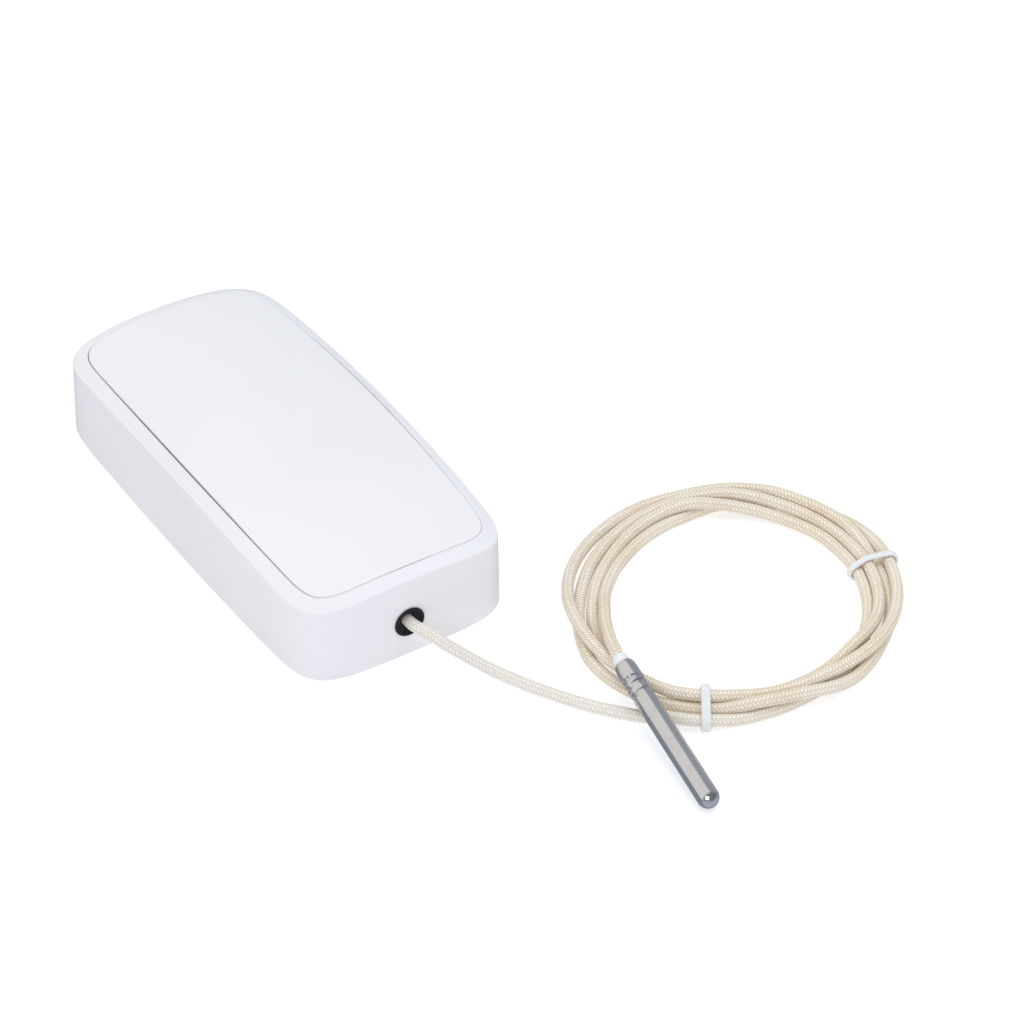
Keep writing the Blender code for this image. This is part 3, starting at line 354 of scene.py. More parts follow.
@dataclass(frozen=True)
class SoftRubber(Finish):
    """Moulded rubber or silicone with a dull skin and a trace of dust."""

    grain: float = 0.12
    grain_depth: float = 0.01

    def paint(self, surface: Surface) -> None:
        """Paint dull rubber.

        Args:
            surface: The surface to paint.
        """
        dust = surface.noise(1.6, 4.0).smooth(0.45, 0.8)
        fine = surface.noise(self.grain)
        dusty = tuple(channel * 1.15 + 0.003 for channel in self.tint)
        surface.uniform(Specular_IOR_Level=0.33)
        surface.colour(surface.blend(dust, self.tint, dusty))
        surface.roughness(dust * 0.12 + fine * 0.1 + (self.gloss - 0.08))
        surface.relief(fine, self.grain_depth)


@dataclass(frozen=True)
class PolishedMetal(Finish):
    """Drawn and polished steel, with hairline polishing marks along the tube and faint handling marks."""

    turn: Triple = (0.0, 0.0, 0.0)
    hairline: float = 0.12
    hairline_depth: float = 0.0012

    def paint(self, surface: Surface) -> None:
        """Paint polished metal.

        Args:
            surface: The surface to paint.
        """
        surface.uniform(Metallic=1.0)
        lines = surface.noise(self.hairline, 3.0, surface.stretched((1.0, 1.0, 0.02), self.turn))
        marks = surface.noise(5.0, 3.0).smooth(0.4, 0.75)
        surface.colour(surface.blend(marks * 0.6, self.tint, self.shaded(0.93, 0.93, 0.93)))
        surface.roughness(lines * 0.07 + marks * 0.06 + (self.gloss - 0.05))
        surface.relief(lines, self.hairline_depth)


@dataclass(frozen=True)
class PlatedMetal(Finish):
    """Plated sheet or wire with a slightly mottled coat."""

    grain: float = 0.15
    grain_depth: float = 0.003

    def paint(self, surface: Surface) -> None:
        """Paint plated metal.

        Args:
            surface: The surface to paint.
        """
        surface.uniform(Metallic=1.0)
        mottle = surface.noise(0.9, 3.0)
        surface.colour(surface.blend(mottle.smooth(0.35, 0.7), self.tint, self.shaded(0.84, 0.87, 0.92)))
        surface.roughness(mottle * 0.2 + (self.gloss - 0.1))
        surface.relief(surface.noise(self.grain), self.grain_depth)


@dataclass(frozen=True)
class GlassBraid(Finish):
    """Glass fibre braid: flat strands that cross two over and two under, in rows of chevrons."""

    painted_groove_shade: Colour = (0.64, 0.48, 0.31)
    painted_glint: Colour = (0.94, 0.925, 0.895)
    lead_tint: Colour = (0.81, 0.76, 0.675)
    painted_lead_groove_shade: Colour = (0.69, 0.60, 0.48)
    lead_until: Pair = (55.0, 130.0)
    filaments: float = 4.0
    bulge: float = 0.06

    def paint(self, surface: Surface) -> None:
        """Paint the braid from the cord's own map, whose unit is one strand each way.

        Args:
            surface: The surface to paint.
        """
        along, around, _ = surface.parts(surface.where(Way.SURFACE))
        right = along + around
        left = along - around
        cell = (right.floor() - left.floor()) % 4.0
        over = cell < 1.5
        across = over * (right % 1.0) + (1.0 - over) * (left % 1.0)
        run_right = (left % 1.0) - cell + 1.0
        run_left = (right % 1.0) + cell - 2.0
        run = over * run_right + (1.0 - over) * run_left
        crown = 1.0 - (across * 2.0 - 1.0) * (across * 2.0 - 1.0)
        float_arch = 1.0 - (run - 1.0) * (run - 1.0) * 0.75
        height = crown.power(0.6) * float_arch
        threads = (across * (2.0 * math.pi * self.filaments)).sine() * 0.5 + 0.5
        patch = surface.noise(0.8)
        broad = surface.noise(11.0)
        # The cord is less yellow along its first stretch from the case, then turns to the coil's colour with
        # its random patches.
        coil_base = surface.blend(broad.smooth(0.35, 0.65), self.tint, self.shaded(0.95, 0.90, 0.81))
        coil_share = along.smooth(*self.lead_until)
        base = surface.blend(coil_share, self.lead_tint, coil_base)
        # Painted shade: the strands darken to a warm brown where they dip into the grooves between them,
        # less deeply along the lead.
        painted_groove_shade = surface.blend(coil_share, self.painted_lead_groove_shade, self.painted_groove_shade)
        strand = surface.blend(height.smooth(0.12, 0.62), painted_groove_shade, base)
        # Painted highlight: near-white glints in patches on the strands' crowns, which are also made
        # glossier there.
        painted_glint_mask = patch.smooth(0.38, 0.6) * height.smooth(0.68, 0.97)
        surface.colour(surface.blend(painted_glint_mask * 0.85, strand, self.painted_glint))
        surface.roughness(threads * 0.08 + (1.0 - painted_glint_mask) * 0.22 + (self.gloss - 0.22))
        surface.relief(height + threads * 0.06, self.bulge)


@dataclass(frozen=True)
class LightTable(Finish):
    """A matt white table that is also lit from below, so shadows on it stay faint."""

    glow: float = 0.78

    def paint(self, surface: Surface) -> None:
        """Paint the table with its own faint light."""
        super().paint(surface)
        surface.uniform(Emission_Color=(*self.tint, 1.0), Emission_Strength=self.glow)


@dataclass(frozen=True)
class MilkyNylon(Finish):
    """Moulded nylon or sleeve: glossy, slightly translucent and nearly even."""

    depth: float = 0.12
    grain: float = 0.3
    grain_depth: float = 0.004

    def paint(self, surface: Surface) -> None:
        """Paint milky plastic.

        Args:
            surface: The surface to paint.
        """
        surface.uniform(Subsurface_Weight=self.depth, Subsurface_Scale=MM)
        cloud = surface.noise(1.8)
        surface.colour(surface.blend(cloud.smooth(0.35, 0.7), self.tint, self.shaded(0.94, 0.96, 0.98)))
        surface.roughness(cloud * 0.14 + (self.gloss - 0.07))
        surface.relief(surface.noise(self.grain), self.grain_depth)


@dataclass(frozen=True)
class SolderMask(Finish):
    """Green board with copper tracks that show through the mask, on a fine grid."""

    copper: Colour = (0.05, 0.30, 0.13)
    grid: float = 2.54
    track_share: float = 0.42
    track_depth: float = 0.02

    def paint(self, surface: Surface) -> None:
        """Paint the board.

        Args:
            surface: The surface to paint.
        """
        across = surface.parts(surface.where(Way.PLACE))[0] * (1.0 / (self.grid * MM))
        block = surface.noise(11.0, 1.0).smooth(0.47, 0.52)
        track = ((across % 1.0) < self.track_share) * block
        surface.colour(surface.blend(track, self.tint, self.copper))
        surface.roughness(surface.noise(2.0) * 0.12 + (self.gloss - 0.06))
        surface.relief(track, self.track_depth)


@dataclass(frozen=True)
class CellFilm(Finish):
    """Shrunk plastic film over a steel cell, with a lighter band towards one end."""

    band: Colour = (0.55, 0.42, 0.20)
    band_from: float = 0.0
    band_to: float = 0.0

    def paint(self, surface: Surface) -> None:
        """Paint the film.

        Args:
            surface: The surface to paint.
        """
        along = surface.parts(surface.where(Way.PLACE))[1]
        banded = (along < self.band_to * MM) * (1.0 - (along < self.band_from * MM))
        surface.colour(surface.blend(banded, self.tint, self.band))
        surface.roughness(surface.noise(3.0, 3.0) * 0.18 + (self.gloss - 0.09))
        surface.relief(surface.noise(0.8), 0.006)


class Palette:
    """The finishes of this logger."""

    CASE = MouldedPlastic("white case plastic", "case_plastic", (0.846, 0.820, 0.819), 0.36)
    GASKET = SoftRubber("grey silicone", "silicone", (0.35, 0.36, 0.37), 0.6)
    RUBBER = SoftRubber("black rubber", "black_rubber", (0.005, 0.005, 0.007), 0.42)
    BLACK = MouldedPlastic("black plastic", "black_plastic", (0.02, 0.02, 0.022), 0.42)
    TERMINAL = MouldedPlastic("green terminal plastic", "terminal_plastic", (0.03, 0.25, 0.09), 0.42)
    ZINC = PlatedMetal("zinc plated steel", "zinc_steel", (0.62, 0.62, 0.61), 0.32)
    BRASS = PlatedMetal("tinned brass", "tinned_brass", (0.72, 0.62, 0.38), 0.3)
    BOARD = SolderMask("green board", "board", (0.015, 0.14, 0.05), 0.32)
    BRAID = GlassBraid("glass fibre braid", "braid", (0.83, 0.755, 0.635), 0.55)
    RED = MouldedPlastic("red insulation", "red_insulation", (0.5, 0.03, 0.02), 0.4)
    PALE = MouldedPlastic("white insulation", "white_insulation", (0.8, 0.8, 0.78), 0.4)
    NYLON = MilkyNylon("white nylon", "nylon", (0.80, 0.80, 0.77), 0.32)
    SLEEVE = MilkyNylon("white sleeve", "sleeve", (0.83, 0.83, 0.815), 0.38)
    CERAMIC = MilkyNylon("white ceramic", "ceramic", (0.85, 0.84, 0.8), 0.5, 0.05)
    FAR_CELL = CellFilm("far film", "battery", (0.05, 0.055, 0.07), 0.3, band_from=32.0, band_to=46.0)
    NEAR_CELL = CellFilm("near film", "battery", (0.05, 0.055, 0.07), 0.3, band_from=-8.0, band_to=6.0)


@dataclass
class Loft:
    """A skin in millimetres that grows ring by ring from a circle of vertices."""

    rings: list[Ring]
    reaches: list[float] = field(default_factory=list)
    shape: bmesh.types.BMesh = field(default_factory=bmesh.new)

    def __post_init__(self) -> None:
        """Grow through the rings, and keep the edges of the first and the last one."""
        self.place = self.shape.verts.layers.int.new("place")
        self.along = self.shape.verts.layers.float.new("along")
        circle = bmesh.ops.create_circle(self.shape, cap_ends=False, segments=len(self.rings[0]), radius=1.0)
        verts = circle["verts"]
        for number, vert in enumerate(verts):
            vert[self.place] = number
        self.start = list(self.shape.edges)
        self.end = list(self.start)
        reaches = self.reaches or [0.0] * len(self.rings)
        for number, (ring, reached) in enumerate(zip(self.rings, reaches)):
            if number > 0:
                grown = bmesh.ops.extrude_edge_only(self.shape, edges=self.end)["geom"]
                verts = {item for item in grown if isinstance(item, bmesh.types.BMVert)}
                lines = [item for item in grown if isinstance(item, bmesh.types.BMEdge)]
                self.end = [line for line in lines if line.verts[0] in verts and line.verts[1] in verts]
            for vert in verts:
                vert.co = ring[vert[self.place]]
                vert[self.along] = reached

    def close_to_pole(self) -> bmesh.types.BMesh:
        """Close the last ring to its middle and the first one with a face.

        Returns:
            The closed shape.
        """
        verts = list({vert for edge in self.end for vert in edge.verts})
        middle = sum((vert.co for vert in verts), Vector()) / len(verts)
        bmesh.ops.pointmerge(self.shape, verts=verts, merge_co=middle)
        bmesh.ops.edgeloop_fill(self.shape, edges=self.start)
        return self.shape

    def close_flat(self) -> None:
        """Close the first and the last ring with a face each."""
        bmesh.ops.edgeloop_fill(self.shape, edges=self.start)
        bmesh.ops.edgeloop_fill(self.shape, edges=self.end)

    def close_round(self) -> bmesh.types.BMesh:
        """Bridge the last ring to the first, and give the closed shape."""
        bmesh.ops.bridge_loops(self.shape, edges=self.end + self.start)
        return self.shape


@dataclass(frozen=True)
class Corner:
    """One point of a turned profile, with the fillet that rounds it."""

    radius: float
    height: float
    fillet: float = 0.0


def rounded(profile: list[Corner], steps: int = 5) -> Flat:
    """Round the corners of a closed profile.

    Args:
        profile: The profile's corners.
        steps: How many steps each fillet takes.

    Returns:
        The (radius, height) points of the rounded profile.
    """
    points: Flat = []
    for number, corner in enumerate(profile):
        here = Vector((corner.radius, corner.height))
        if corner.fillet == 0:
            points.append(tuple(here))
            continue
        sides = []
        for other in (profile[number - 1], profile[(number + 1) % len(profile)]):
            way = Vector((other.radius, other.height)) - here
            sides.append(here + way * min(corner.fillet / way.length, FILLET_LIMIT))
        for step in range(steps + 1):
            t = step / steps
            points.append(tuple(sides[0] * (1 - t) ** 2 + here * 2 * t * (1 - t) + sides[1] * t ** 2))
    return points


def turned(profile: Flat, steps: int = 64) -> bmesh.types.BMesh:
    """Spin a closed profile about Z.

    Args:
        profile: The (radius, height) points.
        steps: How many steps the turn takes.

    Returns:
        The turned shape, in millimetres.
    """
    shape = bmesh.new()
    verts = [shape.verts.new((radius, 0.0, height)) for radius, height in profile]
    edges = [shape.edges.new(pair) for pair in zip(verts, [*verts[1:], verts[0]])]
    axis = {"cent": (0, 0, 0), "axis": (0, 0, 1), "angle": 2 * math.pi}
    bmesh.ops.spin(shape, geom=verts + edges, steps=steps, use_merge=True, **axis)
    bmesh.ops.remove_doubles(shape, verts=shape.verts, dist=MERGE)
    return shape


def distances(line: np.ndarray) -> np.ndarray:
    """Give how far along a row of points each point is."""
    return np.concatenate([[0.0], np.cumsum(np.linalg.norm(np.diff(line, axis=0), axis=1))])


def quarter_turn(steps: int = 4) -> Flat:
    """Give the (sine, 1 - cosine) steps of a rounded edge."""
    angles = [math.pi / 2 * step / steps for step in range(steps + 1)]
    return [(math.sin(angle), 1 - math.cos(angle)) for angle in angles]


def finished(name: str, shape: bmesh.types.BMesh, finish: Finish, sharp: float = SHARP) -> bpy.types.Object:
    """Turn a shape in millimetres into a smooth, dressed piece in metres.

    Args:
        name: The piece's name.
        shape: The shape, which is used up.
        finish: Its finish.
        sharp: The angle in degrees past which an edge stays sharp.

    Returns:
        The piece.
    """
    bmesh.ops.recalc_face_normals(shape, faces=shape.faces)
    bmesh.ops.scale(shape, vec=(MM, MM, MM), verts=shape.verts)
    mesh = bpy.data.meshes.new(name)
    shape.to_mesh(mesh)
    shape.free()
    mesh.shade_smooth()
    mesh.set_sharp_from_angle(angle=math.radians(sharp))
    piece = bpy.data.objects.new(name, mesh)
    bpy.context.scene.collection.objects.link(piece)
    finish.dress(piece)
    return piece


def stand_in(
    name: str, shape: bmesh.types.BMesh, finish: Finish, *nodes: str, sharp: float = SHARP
) -> bpy.types.Object:
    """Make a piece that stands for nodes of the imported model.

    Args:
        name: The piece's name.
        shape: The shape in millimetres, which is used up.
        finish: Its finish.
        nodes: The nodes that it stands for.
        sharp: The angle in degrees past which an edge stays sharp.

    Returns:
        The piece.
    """
    piece = finished(name, shape, finish, sharp)
    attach(piece, ROOT_BODY)
    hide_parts(*nodes)
    LOG.info("%s stands for %s", name, ", ".join(nodes))
    return piece


@dataclass(frozen=True)
class CaseForm:
    """The case's outer form, centred on the origin and standing on z = 0."""

    length: float = 140.0
    width: float = 67.2
    height: float = 31.4
    corner_reach: float = 29.0
    corner_power: float = 5.3
    corner_spread: float = 1.6
    bows: Pair = (1.5, 1.1)
    crown_lengthwise: float = 4.4
    crown_across: float = 4.0
    rim_side: float = 3.5
    rim_end: float = 3.9
    plate_corner: float = 20.3
    plate_bows: Pair = (2.25, 1.4)
    corner_steps: int = 22
    side_steps: int = 12
    dome_shares: tuple[float, ...] = (0.988, 0.94, 0.84, 0.7, 0.55, 0.4, 0.25, 0.1, 0.03)

    def _bowed(self, halves: Pair, bend: float, bows: Pair, inset: float) -> Flat:
        """Give a bowed rectangle with soft corners, counter-clockwise.

        Args:
            halves: Half its width and half its length.
            bend: How far its corners reach.
            bows: How far its sides and its ends bow out.
            inset: How far all of it is moved inwards.

        Returns:
            Its points.
        """
        wide, long = (half - inset for half in halves)
        side_bow, end_bow = (bow / half for bow, half in zip(bows, halves))
        bend -= inset
        power = self.corner_power
        points: Flat = []
        for quarter, (sign_x, sign_y) in enumerate(((1, 1), (-1, 1), (-1, -1), (1, -1))):
            for step in range(self.corner_steps + 1):
                share = 2 * step / self.corner_steps - 1
                spread = math.copysign(abs(share) ** self.corner_spread, share)
                angle = math.pi / 4 * (1 + spread) + quarter * math.pi / 2
                c, s = math.cos(angle), math.sin(angle)
                reach = bend / (abs(c) ** power + abs(s) ** power) ** (1 / power)
                points.append((sign_x * (wide - bend) + reach * c, sign_y * (long - bend) + reach * s))
            if quarter % 2 == 1:
                for step in range(1, self.side_steps):
                    points.append((sign_x * wide, sign_x * (long - bend) * (2 * step / self.side_steps - 1)))
        return [
            (x * (1 - side_bow * (y / long) ** 2), y * (1 - end_bow * (x / wide) ** 2))
            for x, y in points
        ]

    def plate_halves(self) -> Pair:
        """Give half the width and half the length of the front plate's recess."""
        return self.width / 2 - self.rim_side, self.length / 2 - self.rim_end

    def outline(self, inset: float = 0.0) -> Flat:
        """Give the case's outline, moved inwards by an inset."""
        return self._bowed((self.width / 2, self.length / 2), self.corner_reach, self.bows, inset)

    def plate_outline(self, inset: float = 0.0) -> Flat:
        """Give the outline of the front plate's recess, moved inwards by an inset."""
        return self._bowed(self.plate_halves(), self.plate_corner, self.plate_bows, inset)

    def crown(self, x: float, y: float) -> float:
        """Give the height of the crowned top at a place."""
        along, across = 2 * y / self.length, 2 * x / self.width
        return self.height - self.crown_lengthwise * along ** 2 - self.crown_across * across ** 2

    def on_crown(self, points: Flat, drop: float) -> Ring:
        """Lift flat points to the crowned top, less a drop."""
        return [Vector((x, y, self.crown(x, y) - drop)) for x, y in points]

    def dome(self, points: Flat, drop: float) -> list[Ring]:
        """Give rings that follow the crowned top, less a drop, from an outline to its middle."""
        shrunk = ([(x * share, y * share) for x, y in points] for share in self.dome_shares)
        return [self.on_crown(ring, drop) for ring in shrunk]


def at_height(points: Flat, height: float) -> Ring:
    """Lift flat points to one height."""
    return [Vector((x, y, height)) for x, y in points]


@dataclass
class CaseShell:
    """The case body with its rim and recess, and the front plate in it. The base cover keeps its solid."""

    form: CaseForm = field(default_factory=CaseForm)
    wall: float = 2.6
    top_wall: float = 1.8
    recess: float = 2.0
    rim_step: float = 0.25
    rim_drop: float = 1.5
    rim_flat: float = 1.0
    rim_rise: float = 0.12
    edge_round: float = 0.3
    outer_round: float = 0.5
    draft: float = 0.35
    draft_steps: tuple[Pair, ...] = ((0.35, 18.0), (0.9, 4.4))
    margin: float = 0.5
    lift: float = 0.12
    foot_round: float = 0.35
    rebate_wall: float = 1.3
    ledge: float = 3.8
    plate_gap: float = 0.1
    plate_thickness: float = 1.8
    plate_round: float = 0.38
    plate_margin: float = 0.3
    plate_waist: float = 0.26
    plate_shift: Pair = (0.05, -0.08)
    boss_places: Pair = (24.1, 57.0)
    boss_radius: float = 3.6
    boss_foot: float = 4.4
    pilot_radius: float = 1.7
    pilot_top: float = 16.2
    bore_radius: float = 4.0
    bore_reach: float = 8.0
    bore_at: Pair = (-2.0, 11.4)

    def body_rings(self) -> list[Ring]:
        """Give the rings of the body's skin from the recess floor, over the rim, to the ceiling.

        Returns:
            The rings.
        """
        form, turn, outer, inner_edge = self.form, quarter_turn(), self.outer_round, self.edge_round
        low, ceiling = self.lift + self.foot_round, self.recess + self.top_wall
        recess = [(0.0, self.recess), (0.0, self.rim_step + inner_edge)]
        recess += [(-inner_edge * rise, self.rim_step + inner_edge * (1 - run)) for run, rise in turn]
        rim = [(outer + self.rim_flat, self.rim_drop - self.rim_rise)]
        rim += [(outer * (1 - run), self.rim_drop + outer * rise) for run, rise in turn]
        rim += [(-0.01, self.rim_drop + outer + self.margin)]
        drafts = (*self.draft_steps, (1.0, low + self.margin))
        side = [(-self.draft * share, height) for share, height in drafts]
        side += [(self.foot_round * rise - self.draft, low - self.foot_round * run) for run, rise in turn]
        side += [(self.rebate_wall, self.lift), (self.rebate_wall, self.ledge), (self.wall, self.ledge)]
        inner = [(self.wall, ceiling + self.margin), (self.wall + self.margin, ceiling)]
        rings = form.dome(form.plate_outline(), self.recess)[::-1]
        rings += [form.on_crown(form.plate_outline(inset), drop) for inset, drop in recess]
        rings += [form.on_crown(form.outline(inset), drop) for inset, drop in rim]
        rings += [at_height(form.outline(inset), height) for inset, height in side]
        rings += [form.on_crown(form.outline(inset), drop) for inset, drop in inner]
        return rings + form.dome(form.outline(self.wall + self.margin), ceiling)

    def cylinder(self, radius: float, low: float, high: float, x: float, y: float) -> bmesh.types.BMesh:
        """Give an upright cylinder.

        Args:
            radius: Its radius.
            low: The height of its foot.
            high: The height of its top.
            x: Its place across the case.
            y: Its place along the case.

        Returns:
            The cylinder.
        """
        shape = bmesh.new()
        matrix = Matrix.Translation((x, y, (low + high) / 2))
        size = {"segments": 40, "radius1": radius, "radius2": radius, "depth": high - low}
        bmesh.ops.create_cone(shape, cap_ends=True, matrix=matrix, **size)
        return shape

    def carve(self, piece: bpy.types.Object, tools: list[tuple[str, bmesh.types.BMesh]]) -> None:
        """Add bodies to a piece or cut them from it, and keep the result as its mesh.

        Args:
            piece: The piece.
            tools: Each body with UNION or DIFFERENCE.
        """
        helpers = []
        for number, (operation, shape) in enumerate(tools):
            modifier = piece.modifiers.new(f"carve_{number}", "BOOLEAN")
            modifier.operation = operation
            modifier.solver = "EXACT"
            modifier.object = finished(f"helper_{number}", shape, Palette.CASE)
            helpers.append(modifier.object)
        bpy.context.view_layer.update()
        carved = bpy.data.meshes.new_from_object(piece.evaluated_get(bpy.context.evaluated_depsgraph_get()))
        piece.modifiers.clear()
        carved.set_sharp_from_angle(angle=math.radians(SHARP))
        piece.data = carved
        piece.data.name = piece.name
        for helper in helpers:
            bpy.data.objects.remove(helper, do_unlink=True)

    def build_body(self) -> None:
        """Make the case body with its bosses, pilot holes and cord bore."""
        tools = []
        for side, end in ((-1, -1), (-1, 1), (1, -1), (1, 1)):
            x, y = side * self.boss_places[0], end * self.boss_places[1]
            top = self.form.crown(x, y) - self.recess - self.top_wall / 2
            tools.append(("UNION", self.cylinder(self.boss_radius, self.boss_foot, top, x, y)))
            tools.append(("DIFFERENCE", self.cylinder(self.pilot_radius, 0.0, self.pilot_top, x, y)))
        bore = self.cylinder(self.bore_radius, -self.bore_reach, self.bore_reach, 0.0, 0.0)
        place = Matrix.Translation((self.bore_at[0], -self.form.length / 2, self.bore_at[1]))
        bmesh.ops.transform(bore, matrix=place @ Matrix.Rotation(math.pi / 2, 4, "X"), verts=bore.verts)
        tools.append(("DIFFERENCE", bore))
        shell = Loft(self.body_rings()).close_to_pole()
        self.carve(stand_in("case_body_shell", shell, Palette.CASE, "case_body"), tools)

    def build_plate(self) -> None:
        """Make the crowned front plate with its soft edge and its slight waist."""
        form, gap = self.form, self.plate_gap
        edge = [(0.0, self.plate_thickness), (0.0, self.plate_round + self.plate_margin)]
        edge += [(self.plate_round * rise, self.plate_round * (1 - run)) for run, rise in quarter_turn(5)]
        rings = form.dome(form.plate_outline(gap), self.plate_thickness)[::-1]
        rings += [form.on_crown(form.plate_outline(gap + inset), drop) for inset, drop in edge]
        rings += form.dome(form.plate_outline(gap + self.plate_round), 0.0)
        plate = Loft(rings).close_to_pole()
        wide, long = form.plate_halves()
        for vert in plate.verts:
            vert.co.x *= 1 - self.plate_waist / wide * (1 - (vert.co.y / long) ** 2) ** 2
        bmesh.ops.translate(plate, vec=(*self.plate_shift, 0.0), verts=plate.verts)
        finish = PlatePlastic("white plate plastic", "plate_plastic", (0.855, 0.832, 0.821), 0.33, form=form)
        stand_in("front_plate_face", plate, finish, "front_plate")

    def build(self) -> None:
        """Make the visible shell."""
        self.build_body()
        self.build_plate()


@dataclass
class CordEntry:
    """The rubber grommet in the end wall where the cord comes out of its dished face."""

    place: Place = (-2.0, -70.226, 11.4)
    bore: float = 1.78
    neck: float = 3.7
    lip_radius: float = 4.55
    lip: float = 0.45
    stand_off: float = 0.05
    wall: float = 2.826
    rim: float = 0.75
    dish: float = 1.4
    dish_round: float = 0.35
    inner_step: float = 0.2

    def build(self) -> None:
        """Make the grommet, with a rolled rim round its dish."""
        face = self.stand_off + self.lip
        inside = -self.wall - self.stand_off
        rim, hidden = self.lip_radius - self.rim, self.lip_radius - self.inner_step
        profile = rounded(
            [
                Corner(self.bore, inside - self.lip, 0.2),
                Corner(self.bore, face - self.dish, 0.15),
                Corner(self.bore + self.dish_round, face - self.dish + 0.1, 0.3),
                Corner(rim - self.dish_round, face - 0.45, 0.3),
                Corner(rim, face, 0.22),
                Corner(self.lip_radius, face, 0.4),
                Corner(self.lip_radius, self.stand_off, 0.15),
                Corner(self.neck, self.stand_off),
                Corner(self.neck, inside),
                Corner(hidden, inside, 0.2),
                Corner(hidden, inside - self.lip, 0.4),
            ]
        )
        shape = turned(profile)
        frame = Matrix.Translation(self.place) @ Matrix.Rotation(math.pi / 2, 4, "X")
        bmesh.ops.transform(shape, matrix=frame, verts=shape.verts)
        stand_in("grommet", shape, Palette.RUBBER, "cable_grommet")


